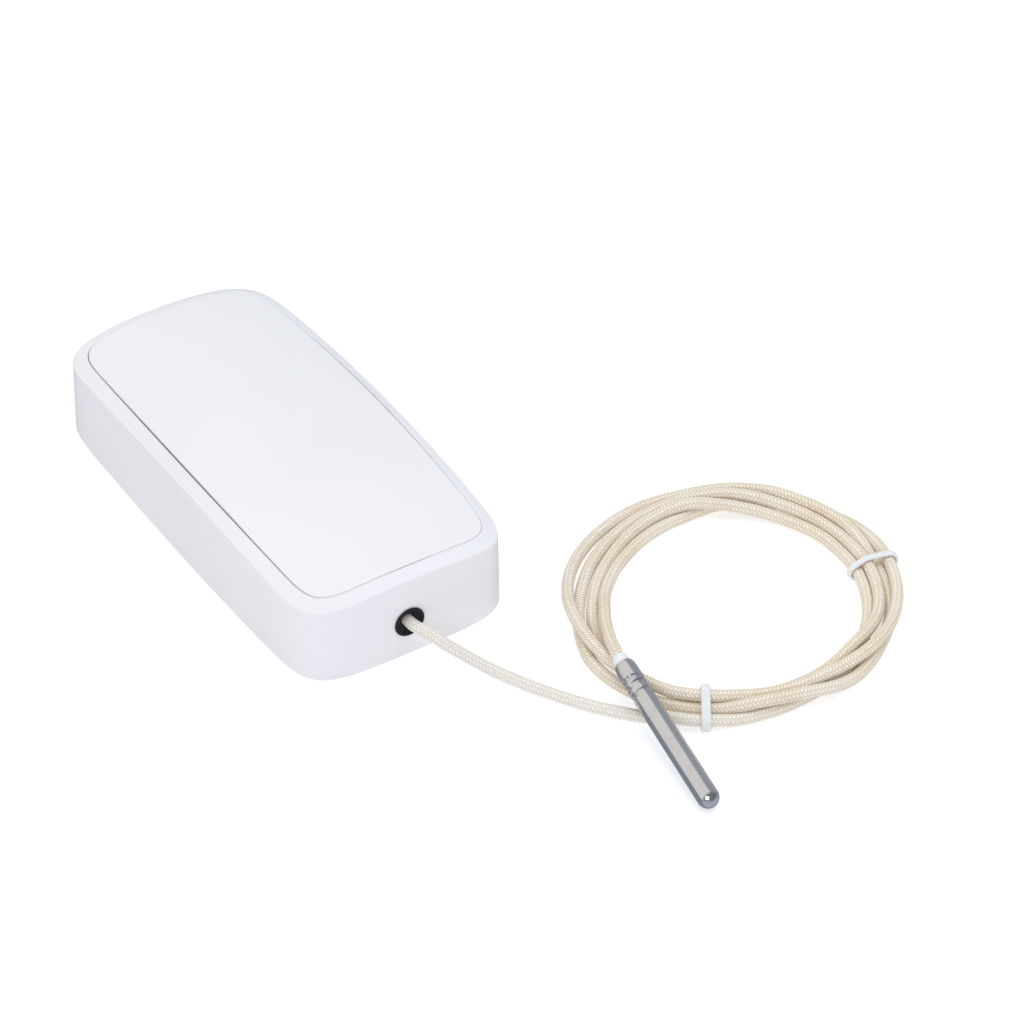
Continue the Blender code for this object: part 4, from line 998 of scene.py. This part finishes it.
@dataclass
class ProbeForm:
    """The steel probe: tube, rolled crimps, domed tip and the white sleeve at its tail."""

    tail: Place = (38.01, -113.42, 9.0)
    heading: Pair = (-6.33, -48.56)
    tip_height: float = 2.68
    length: float = 52.3
    radius: float = 3.0
    wall: float = 0.5
    nose: float = 0.42
    nose_length: float = 4.6
    nose_power: float = 1.3
    mouth_drop: float = 0.12
    mouth_roll: tuple[Pair, ...] = ((0.0, 1.2), (-0.04, 0.25), (0.02, 0.06), (0.12, 0.0))
    bore_ends: Pair = (14.0, 2.4)
    crimps: tuple[float, ...] = (6.5, 8.8, 11.2)
    crimp_depth: float = 0.35
    crimp_width: float = 2.0
    crimp_slant: float = 0.45
    crimp_phase: float = 1.9
    crimp_step: float = 0.08
    curve_steps: int = 8
    dome_steps: int = 12
    sleeve_radius: float = 2.15
    sleeve_out: float = 2.8
    sleeve_in: float = 2.6
    sleeve_bore: float = 0.9
    mouth_radius: float = 1.78
    mouth_depth: float = 0.9

    def frame(self) -> Matrix:
        """Give the frame whose origin is the tube's tail and whose Z runs along the tube to its tip.

        Returns:
            The frame.
        """
        drop = math.asin((self.tail[2] - self.tip_height) / self.length)
        level = Vector((*self.heading, 0.0)).normalized()
        along = level * math.cos(drop) - Vector((0, 0, math.sin(drop)))
        return Matrix.Translation(self.tail) @ along.to_track_quat("Z", "Y").to_matrix().to_4x4()

    def mouth(self) -> Vector:
        """Give the place where the cord enters the sleeve."""
        return self.frame() @ Vector((0, 0, -self.sleeve_out))

    def direction(self) -> Vector:
        """Give the unit vector from tail to tip."""
        return (self.frame().to_3x3() @ Vector((0, 0, 1))).normalized()

    def dip(self, place: float, turn: float) -> float:
        """Give how deep the crimps are at a place on the tube. Each is a little slanted and uneven.

        Args:
            place: How far along the tube the place is.
            turn: Its angle round the tube.

        Returns:
            The depth.
        """
        depth = 0.0
        for number, crimp in enumerate(self.crimps):
            phase = self.crimp_phase * number
            share = abs(place - crimp - self.crimp_slant * math.cos(turn + phase)) / (self.crimp_width / 2)
            if share < 1:
                uneven = 0.85 + 0.15 * math.cos(3 * turn + phase)
                depth = max(depth, self.crimp_depth * uneven * (0.5 + 0.5 * math.cos(math.pi * share)))
        return depth

    def crimp(self, tube: bmesh.types.BMesh) -> None:
        """Press the crimps into the tube's outside.

        Args:
            tube: The tube, standing on its tail along Z.
        """
        low, high = self.crimps[0] - self.crimp_width, self.crimps[-1] + self.crimp_width
        for vert in tube.verts:
            reach = math.hypot(vert.co.x, vert.co.y)
            if low < vert.co.z < high and reach > self.radius - 0.05:
                share = 1 - self.dip(vert.co.z, math.atan2(vert.co.y, vert.co.x)) / reach
                vert.co.x *= share
                vert.co.y *= share

    def tube_profile(self) -> Flat:
        """Give the tube's profile, out along its outside and back along its bore.

        Returns:
            The profile as (radius, height) points.
        """
        mouth = self.radius - self.nose - self.mouth_drop
        points: Flat = [(mouth + out, height) for out, height in self.mouth_roll]
        angles = [math.pi / 2 * step / self.curve_steps for step in range(self.curve_steps + 1)]
        for angle in angles[1:]:
            radius = self.radius - self.nose * (1 - math.sin(angle)) ** self.nose_power
            points.append((radius, self.nose_length * (1 - math.cos(angle)) + 0.02))
        place = self.nose_length + 0.2
        while place < self.crimps[-1] + self.crimp_width:
            points.append((self.radius, place))
            place += self.crimp_step
        shoulder = self.length - self.radius
        points += [(self.radius, shoulder * share) for share in (0.35, 0.6, 0.85)]
        bore = self.radius - self.wall
        outer = [math.pi / 2 * step / self.dome_steps for step in range(self.dome_steps + 1)]
        for size, turns in ((self.radius, outer), (bore, angles[::-1])):
            points += [(size * math.cos(turn), shoulder + size * math.sin(turn)) for turn in turns]
        return points + [(bore, end) for end in self.bore_ends]

    def build(self) -> list[bpy.types.Object]:
        """Make the tube and the sleeve.

        Returns:
            The pieces on the cord's end.
        """
        frame = self.frame()
        turn = frame.to_3x3().inverted().to_euler("XYZ")
        steel = PolishedMetal("polished steel", "polished_steel", (0.67, 0.638, 0.612), 0.17, tuple(turn))
        tube = turned(self.tube_profile(), steps=128)
        self.crimp(tube)
        mouth_end = -self.sleeve_out + self.mouth_depth
        profile = rounded(
            [
                Corner(self.mouth_radius, -self.sleeve_out, 0.15),
                Corner(self.sleeve_radius, -self.sleeve_out, 0.2),
                Corner(self.sleeve_radius, self.sleeve_in, 0.2),
                Corner(self.sleeve_bore, self.sleeve_in, 0.1),
                Corner(self.sleeve_bore, mouth_end, 0.1),
                Corner(self.mouth_radius, mouth_end, 0.1),
            ]
        )
        sleeve = turned(profile)
        for shape in (tube, sleeve):
            bmesh.ops.transform(shape, matrix=frame, verts=shape.verts)
        return [
            stand_in("probe_sheath", tube, steel, "probe_tube", sharp=60.0),
            stand_in("probe_sleeve", sleeve, Palette.SLEEVE, "probe_collar"),
        ]


@dataclass
class CordRoute:
    """The cord's way from the grommet, round the coil and up to the probe.

    The lay gives, at each clock angle, the lane and the layer of the four passes, in cord diameters
    from the middle of the coil's band and from the surface. The passes are then settled in small rounds:
    points with more than own_bend of cord between them are pushed until they only touch, and a few at
    each end are held. The cord is straight for a short stretch before and behind the sleeve's mouth.
    """

    diameter: float = 3.4
    centre: Pair = (81.6, -101.4)
    radius: float = 41.0
    turn: float = -32.8
    spacing: float = 1.2
    tie_angles: tuple[float, ...] = (-101.4, 18.6)
    tie_lift: float = 1.1
    tie_reach: float = 13.0
    leaves: float = 191.0
    clearance: float = 0.02
    lay_step: float = 1.5
    knot_steps: int = 8
    straight: Pair = (1.6, 0.6)
    coil_reach: float = 13.6
    rounds: int = 90
    held_ends: int = 6
    own_bend: float = 10.2
    touch: float = 1.004
    ease: float = 0.9
    exit: Place = (-2.0, -69.5, 11.4)
    clamp: Place = (-1.8, -56.0, 11.1)
    inner_end: float = -46.2
    inner_gap: float = 0.3
    lead: tuple[Place, ...] = (
        (-1.9, -71.6, 11.35), (-1.2, -73.8, 11.25), (0.5, -76.6, 10.6),
        (2.1, -79.5, 9.25), (4.4, -82.1, 7.45), (7.1, -85.0, 5.4),
        (9.9, -88.3, 3.5), (12.5, -91.7, 2.2), (14.7, -95.5, 1.75),
        (16.6, -99.4, 1.7), (18.7, -103.3, 1.7), (20.9, -107.0, 1.7),
        (23.1, -110.6, 1.7), (25.5, -114.2, 1.7), (28.1, -117.7, 1.7),
        (31.4, -121.7, 1.7), (35.1, -125.8, 1.75), (39.1, -129.4, 1.95),
        (42.4, -132.3, 2.4),
    )
    tail: tuple[Place, ...] = (
        (46.45, -91.9, 5.3), (44.45, -95.6, 6.2), (42.35, -100.0, 7.35),
        (40.6, -103.9, 8.4), (39.4, -107.2, 9.15),
    )
    lay: tuple[tuple[float, tuple[Pair, ...]], ...] = (
        (-104, ((2.54, 0.0), (0.05, 0.0), (1.23, 0.0), (0.66, 0.87))),
        (-96, ((2.06, 0.0), (-0.12, 0.0), (1.12, 0.25), (0.48, 0.87))),
        (-85, ((1.36, 0.0), (-0.64, 0.0), (0.94, 0.94), (0.0, 0.79))),
        (-70, ((0.59, 0.0), (-1.12, 0.0), (0.71, 0.97), (-0.29, 0.76))),
        (-45, ((-0.24, 0.0), (-1.15, 0.15), (0.76, 0.06), (-0.03, 1.0))),
        (-20, ((-1.06, 0.0), (-0.53, 0.85), (0.53, 0.0), (0.71, 0.97))),
        (0, ((-1.21, 0.0), (-0.35, 0.53), (0.59, 0.0), (1.09, 0.88))),
        (22, ((-1.23, 0.0), (-0.38, 0.53), (0.48, 0.0), (1.3, 0.56))),
        (45, ((-0.88, 0.0), (0.03, 0.32), (0.94, 0.74), (1.82, 0.06))),
        (65, ((-0.79, 0.03), (-0.06, 0.76), (0.91, 0.97), (1.15, 0.0))),
        (92, ((-0.74, 0.71), (0.38, 0.94), (1.88, 0.21), (0.18, 0.0))),
        (106, ((-0.53, 0.97), (0.62, 0.5), (1.65, 0.09), (-0.74, 0.0))),
        (120, ((-0.29, 0.38), (0.62, 0.15), (1.59, 0.09), (-1.29, 0.0))),
        (150, ((-0.98, 0.03), (0.1, 0.03), (1.34, 0.2), (-1.96, 0.03))),
        (178, ((-1.02, 0.0), (0.1, 0.0), (1.08, 0.62), (-1.88, 0.5))),
        (198, ((-0.48, 0.0), (0.72, 0.0), (0.78, 1.0), (-1.4, 1.15))),
        (212, ((-0.12, 0.0), (1.3, 0.0), (0.68, 0.97), (-0.5, 1.75))),
        (235, ((-0.29, 0.0), (1.38, 0.0), (0.56, 0.87), (1.0, 2.2))),
    )

    def lift(self, clock: float) -> float:
        """Give how far the ties' bands lift the coil off the surface at a clock angle in degrees."""
        aparts = [(clock - tie + 180) % 360 - 180 for tie in self.tie_angles]
        return max(math.exp(-((apart / self.tie_reach) ** 2)) for apart in aparts) * self.tie_lift

    def coil_place(self, clock: float, lane: float, layer: float) -> Vector:
        """Turn a clock angle, lane and layer into a place.

        Args:
            clock: The clock angle in degrees.
            lane: The lane in cord diameters.
            layer: The layer in cord diameters.

        Returns:
            The place.
        """
        angle = math.radians(clock + self.turn)
        reach = self.radius + lane * self.diameter
        height = self.diameter * (0.5 + max(layer, 0.0)) + self.lift(clock)
        x = self.centre[0] + reach * math.cos(angle)
        return Vector((x, self.centre[1] + reach * math.sin(angle), height))

    def coil_points(self) -> list[Vector]:
        """Give places along the coil's four passes, closely spaced.

        Returns:
            The places.
        """
        turns = range(len(self.lay[0][1]))
        rows = [(clock + 360.0 * turn, *passes[turn]) for turn in turns for clock, passes in self.lay]
        table = np.array(rows)
        slopes = np.gradient(table[:, 1:], table[:, 0], axis=0)
        last = 360.0 * turns[-1] + self.leaves
        points = []
        for clock in np.arange(table[0, 0], last + 0.1, self.lay_step):
            at = min(int(np.searchsorted(table[:, 0], clock, side="right")) - 1, len(table) - 2)
            span = table[at + 1, 0] - table[at, 0]
            t = (clock - table[at, 0]) / span
            value = (
                table[at, 1:] * (2 * t ** 3 - 3 * t ** 2 + 1)
                + slopes[at] * span * (t ** 3 - 2 * t ** 2 + t)
                + table[at + 1, 1:] * (3 * t ** 2 - 2 * t ** 3)
                + slopes[at + 1] * span * (t ** 3 - t ** 2)
            )
            points.append(self.coil_place(float(clock), float(value[0]), float(value[1])))
        return points

    def curve(self, knots: list[Vector]) -> list[Vector]:
        """Give a smooth curve through knots.

        Args:
            knots: The knots.

        Returns:
            Close points along it.
        """
        knots = [2 * knots[0] - knots[1], *knots, 2 * knots[-1] - knots[-2]]
        points = []
        for a, b, c, d in zip(knots, knots[1:], knots[2:], knots[3:]):
            for step in range(self.knot_steps):
                t = step / self.knot_steps
                cubic = (3 * b - a - 3 * c + d) * t ** 3
                points.append(0.5 * (2 * b + (c - a) * t + (2 * a - 5 * b + 4 * c - d) * t * t + cubic))
        return [*points, knots[-2]]

    def even(self, points: np.ndarray) -> np.ndarray:
        """Give points at an even spacing along a row of points.

        Args:
            points: The row.

        Returns:
            The evenly spaced row.
        """
        lengths = distances(points)
        count = round(lengths[-1] / self.spacing)
        wanted = np.linspace(0.0, lengths[-1], count + 1)
        return np.stack([np.interp(wanted, lengths, points[:, axis]) for axis in range(3)], axis=1)

    def settle(self, line: np.ndarray) -> np.ndarray:
        """Push the passes apart until they only touch, and keep the cord smooth and off the floor.

        Args:
            line: The cord's centreline as laid.

        Returns:
            The settled centreline.
        """
        laid, moved = line, np.zeros_like(line)
        order = np.arange(len(line))
        far = np.abs(np.subtract.outer(order, order)) > self.own_bend / self.spacing
        held = np.ones((len(line), 1))
        held[: self.held_ends] = 0.0
        held[-self.held_ends :] = 0.0
        for _ in range(self.rounds):
            gaps = line[:, None, :] - line[None, :, :]
            apart = np.sqrt((gaps ** 2).sum(axis=2)) + 1e-9
            short = np.where(far, np.maximum(self.diameter * self.touch - apart, 0.0), 0.0)
            push = (gaps / apart[..., None] * short[..., None]).sum(axis=1)
            crowd = np.maximum((short > 0).sum(axis=1, keepdims=True), 1)
            moved = moved + held * push / crowd * self.ease
            moved[1:-1] = (moved[:-2] + 2 * moved[1:-1] + moved[2:]) / 4
            moved[:, 2] = np.maximum(moved[:, 2], self.diameter / 2 + self.clearance - laid[:, 2])
            line = laid + moved
        return line

    def centreline(self, probe: ProbeForm) -> np.ndarray:
        """Give the settled centreline from the grommet to the probe's sleeve.

        Args:
            probe: The probe that the cord ends in.

        Returns:
            Its points.
        """
        mouth, ahead = probe.mouth(), probe.direction()
        knots = [Vector(point) for point in (self.exit, *self.lead)]
        knots += self.coil_points()[::2]
        knots += [Vector(point) for point in self.tail]
        knots += [mouth - ahead * self.straight[0], mouth + ahead * self.straight[1]]
        dense = np.array([tuple(point) for point in self.curve(knots)])
        return self.even(self.settle(self.even(dense)))

    def crossings(self, line: np.ndarray, clock: float, half_width: float) -> Flat:
        """Give where the passes cross a plane through the coil's middle, as (radius, height).

        Args:
            line: The centreline.
            clock: The plane's clock angle.
            half_width: How far to both sides of it points count.

        Returns:
            The crossing places.
        """
        angle = math.radians(clock + self.turn)
        out = np.array([math.cos(angle), math.sin(angle)])
        side = np.array([-out[1], out[0]])
        flat = line[:, :2] - np.array(self.centre)
        reach, off = flat @ out, flat @ side
        near = np.abs(off) < half_width + self.spacing / 2
        near &= np.abs(reach - self.radius) < self.coil_reach
        return [(float(r), float(z)) for r, z in zip(reach[near], line[near, 2])]


@dataclass
class BraidedCord:
    """The braided cord itself, as one tube with its own map for the braid."""

    route: CordRoute
    sides: int = 24
    strands: int = 8
    braid_pitch: float = 1.05

    def tube(self, name: str, line: np.ndarray, *nodes: str) -> bpy.types.Object:
        """Make a braided tube along a centreline.

        Args:
            name: The piece's name.
            line: The centreline.
            nodes: The nodes that it stands for.

        Returns:
            The tube.
        """
        tangents = np.gradient(line, axis=0)
        tangents /= np.linalg.norm(tangents, axis=1, keepdims=True)
        normal = np.cross(tangents[0], (0.0, 0.0, 1.0))
        turns = [2 * math.pi * side / self.sides for side in range(self.sides)]
        rings = []
        for centre, tangent in zip(line, tangents):
            normal = normal - tangent * float(normal @ tangent)
            normal /= np.linalg.norm(normal)
            other = np.cross(tangent, normal)
            spokes = [math.cos(turn) * normal + math.sin(turn) * other for turn in turns]
            rings.append([Vector(centre + self.route.diameter / 2 * spoke) for spoke in spokes])
        loft = Loft(rings, distances(line).tolist())
        self._map(loft)
        loft.close_flat()
        return stand_in(name, loft.shape, Palette.BRAID, *nodes, sharp=80.0)

    def build(self, line: np.ndarray, pieces: list[bpy.types.Object]) -> None:
        """Make the free cord, and the short length of it that is held inside the case.

        Args:
            line: The free cord's centreline.
            pieces: The pieces that go with it; not used.
        """
        piece = self.tube("braided_cord", line, "cord_lead", "cord_coil", "cord_tail")
        mouth = np.array(self.route.exit) + (0.0, self.route.inner_gap, 0.0)
        clamp = np.array(self.route.clamp)
        end = clamp * (1.0, 0.0, 1.0) + (0.0, self.route.inner_end, 0.0)
        held = np.concatenate([np.linspace(mouth, clamp, 12)[:-1], np.linspace(clamp, end, 9)])
        self.tube("braided_cord_inside", held, "cord_inner")

    def _map(self, loft: Loft) -> None:
        """Lay the braid's map on the tube: one unit for each strand along it and around it.

        Args:
            loft: The tube.
        """
        layer = loft.shape.loops.layers.uv.new("UVMap")
        for face in loft.shape.faces:
            numbers = [loop.vert[loft.place] for loop in face.loops]
            wraps = max(numbers) - min(numbers) > 1
            for loop, number in zip(face.loops, numbers):
                turn = number + self.sides if wraps and number == 0 else number
                along = loop.vert[loft.along] / self.braid_pitch
                loop[layer].uv = (along, turn / self.sides * self.strands)


@dataclass
class CoilTie:
    """One nylon band round the coil's passes."""

    name: str
    node: str
    clock: float
    width: float
    skew: float
    thickness: float = 1.05
    slack: float = 0.08
    clearance: float = 0.03
    squareness: float = 0.85
    hull_steps: int = 72
    section_steps: int = 16

    def outline(self, passes: Flat, growth: float) -> list[tuple[Vector, Vector]]:
        """Give the points of the shape drawn tight round the passes, each with its outward way.

        Args:
            passes: The (radius, height) of each pass.
            growth: How far outside their centres the shape lies.

        Returns:
            The points and outward ways.
        """
        found = []
        for step in range(self.hull_steps):
            angle = 2 * math.pi * step / self.hull_steps
            way = Vector((math.cos(angle), math.sin(angle)))
            corner = max((Vector(place) for place in passes), key=way.dot)
            found.append((corner + way * growth, way))
        evened = []
        steps = [0.0]
        for (a, _), (b, _) in zip(found, [*found[1:], found[0]]):
            steps.append(steps[-1] + (b - a).length)
        at = 0
        for step in range(self.hull_steps):
            wanted = steps[-1] * step / self.hull_steps
            while steps[at + 1] < wanted:
                at += 1
            share = (wanted - steps[at]) / max(steps[at + 1] - steps[at], 1e-9)
            (a, way_a), (b, way_b) = found[at], found[(at + 1) % self.hull_steps]
            evened.append((a.lerp(b, share), way_a.lerp(way_b, share).normalized()))
        return evened

    def build(self, route: CordRoute, line: np.ndarray) -> bpy.types.Object:
        """Make the band round the passes where they cross its plane.

        Args:
            route: The cord's route.
            line: The cord's centreline.

        Returns:
            The band.
        """
        passes = route.crossings(line, self.clock, self.width / 2)
        growth = route.diameter / 2 + self.slack + self.thickness / 2
        angle = math.radians(self.clock + route.turn)
        radial = Vector((math.cos(angle), math.sin(angle), 0.0))
        reach = sum(place[0] for place in passes) / len(passes)
        passes = [(place[0] - reach, place[1]) for place in passes]
        out = Matrix.Rotation(math.radians(self.skew), 3, "Z") @ radial
        side = Vector((-out.y, out.x, 0.0))
        middle = Vector((*route.centre, 0.0)) + radial * reach
        rings = []
        for point, way in self.outline(passes, growth):
            base = middle + out * point.x + Vector((0, 0, point.y))
            outward = out * way.x + Vector((0, 0, way.y))
            ring = []
            for step in range(self.section_steps):
                turn = 2 * math.pi * step / self.section_steps
                c, s = math.cos(turn), math.sin(turn)
                across = math.copysign(abs(c) ** self.squareness, c) * self.width / 2
                rise = math.copysign(abs(s) ** self.squareness, s) * self.thickness / 2
                ring.append(base + side * across + outward * rise)
                ring[-1].z = max(ring[-1].z, self.clearance)
            rings.append(ring)
        return stand_in(self.name, Loft(rings).close_round(), Palette.NYLON, self.node, sharp=60.0)


@dataclass
class InsideParts:
    """The pieces inside the case and the base cover, which keep their own solids."""

    frame: dict
    starts: dict[Finish, tuple[str, ...]] = field(
        default_factory=lambda: {
            Palette.CASE: ("base_cover",),
            Palette.GASKET: ("case_gasket",),
            Palette.ZINC: (
                *("case_screw", "board_screw", "clamp_screw", "terminal_screw"),
                *("spring_contact", "plate_contact", "radio_module"),
            ),
            Palette.BLACK: ("battery_holder", "controller_chip", "cable_clamp"),
            Palette.BOARD: ("circuit_board",),
            Palette.FAR_CELL: ("battery_1",),
            Palette.NEAR_CELL: ("battery_2",),
            Palette.BRASS: ("antenna",),
            Palette.TERMINAL: ("terminal_block",),
            Palette.RED: ("conductor_1",),
            Palette.PALE: ("conductor_2",),
            Palette.CERAMIC: ("sensor_element",),
        }
    )

    def build(self) -> None:
        """Dress each node that is still shown by what its name starts with."""
        for name, node in self.frame["nodes"].items():
            if not node.hide_render:
                next(finish for finish, starts in self.starts.items() if name.startswith(starts)).dress(node)
                LOG.info("%s keeps its solid", name)


@dataclass
class Studio:
    """The camera at the photograph's angle, the pale floor and the soft light."""

    azimuth: float = -32.98
    elevation: float = 39.99
    roll: float = 0.271
    lens: float = 159.72
    sensor: float = 36.0
    clip: Pair = (0.05, 50.0)
    distance: float = 1264.97
    target: Place = (53.10, -35.40, 0.0)
    floor_tint: Colour = (0.64, 0.645, 0.655)
    floor_reach: float = 6000.0
    floor_drop: float = 0.1
    wall: Colour = (0.895, 0.92, 0.955)
    far_wall: Colour = (0.38, 0.43, 0.50)
    near_wall: Colour = (0.21, 0.23, 0.285)
    table: Colour = (0.285, 0.33, 0.40)
    near_table: Colour = (0.50, 0.555, 0.685)
    wall_ends: Pair = (0.27, 0.42)
    near_ends: Pair = (-0.35, 0.15)
    horizon: Pair = (-0.01, 0.01)
    lamp_tint: Colour = (0.945, 0.975, 1.0)

    def camera(self) -> None:
        """Make the camera, and show colours as a plain photograph does."""
        a, e, r = (math.radians(value) for value in (self.azimuth, self.elevation, self.roll))
        back = Vector((math.sin(a) * math.cos(e), -math.cos(a) * math.cos(e), math.sin(e)))
        level = Vector((math.cos(a), math.sin(a), 0.0))
        rise = back.cross(level)
        right = level * math.cos(r) + rise * math.sin(r)
        up = rise * math.cos(r) - level * math.sin(r)
        made = bpy.data.objects.new("camera", bpy.data.cameras.new("camera"))
        made.data.lens = self.lens
        made.data.sensor_width = self.sensor
        made.data.clip_start, made.data.clip_end = self.clip
        place = (Vector(self.target) + back * self.distance) * MM
        made.matrix_world = Matrix.Translation(place) @ Matrix((right, up, back)).transposed().to_4x4()
        bpy.context.scene.collection.objects.link(made)
        bpy.context.scene.camera = made
        bpy.context.scene.view_settings.view_transform = "Standard"

    def floor(self) -> None:
        """Make the floor. Shiny pieces reflect the room's darker table in its place."""
        shape = bmesh.new()
        matrix = Matrix.Translation((0.0, 0.0, -self.floor_drop))
        bmesh.ops.create_grid(shape, x_segments=1, y_segments=1, size=self.floor_reach, matrix=matrix)
        piece = finished("floor", shape, LightTable("pale floor", "floor", self.floor_tint, 0.8))
        piece.visible_glossy = False

    def lamp(self, name: str, place: Place, size: float, power: float, mirrored: bool) -> None:
        """Make a soft box that points at the object.

        Args:
            name: Its name.
            place: Where it is, in metres.
            size: Its side in metres.
            power: Its power in watts.
            mirrored: Whether shiny pieces show it.
        """
        data = bpy.data.lights.new(name, "AREA")
        data.shape = "SQUARE"
        data.size = size
        data.energy = power
        data.color = self.lamp_tint
        made = bpy.data.objects.new(name, data)
        made.location = place
        made.rotation_mode = "QUATERNION"
        made.rotation_quaternion = (Vector(place) - Vector(self.target) * MM).to_track_quat("Z", "Y")
        made.visible_glossy = mirrored
        bpy.context.scene.collection.objects.link(made)

    def room(self) -> None:
        """Make the room's light: a bright wall to the left, a dimmer one to the right, and the table."""
        world = bpy.data.worlds.new("soft room")
        world.use_nodes = True
        bpy.context.scene.world = world
        nodes = Nodes(world.node_tree)
        across, ahead, up = nodes.parts(nodes.node("ShaderNodeTexCoord").outputs["Generated"])
        walls = nodes.blend(across.smooth(*self.wall_ends), self.wall, self.far_wall)
        walls = nodes.blend(ahead.smooth(*self.near_ends), self.near_wall, walls)
        table = nodes.blend(ahead.smooth(*self.near_ends), self.near_table, self.table)
        shade = world.node_tree.nodes["Background"]
        nodes.feed(shade.inputs["Color"], nodes.blend(up.smooth(*self.horizon), table, walls))
        shade.inputs["Strength"].default_value = 1.0

    def build(self) -> None:
        """Make the floor and the light."""
        self.floor()
        self.room()
        self.lamp("key box", (-0.685, -0.91, 0.66), size=0.7, power=4.85, mirrored=True)
        self.lamp("fill box", (0.75, -0.8, 0.3), size=0.8, power=1.3, mirrored=False)
        self.lamp("top box", (0.45, -0.2, 1.25), size=1.3, power=9.8, mirrored=False)


def main() -> None:
    """Build the logger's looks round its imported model."""
    logging.basicConfig(level=logging.INFO, format="%(name)s: %(message)s")
    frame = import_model()
    studio = Studio()
    studio.camera()
    route = CordRoute()
    probe = ProbeForm()
    line = route.centreline(probe)
    front, side = route.tie_angles
    front_tie = CoilTie("front_tie", "coil_tie_1", clock=front, width=2.6, skew=11.8)
    side_tie = CoilTie("side_tie", "coil_tie_2", clock=side, width=2.1, skew=-2.6)
    pieces = probe.build()
    pieces += [tie.build(route, line) for tie in (front_tie, side_tie)]
    BraidedCord(route).build(line, pieces)
    CaseShell().build()
    CordEntry().build()
    InsideParts(frame).build()
    studio.build()


if __name__ == "__main__":
    main()
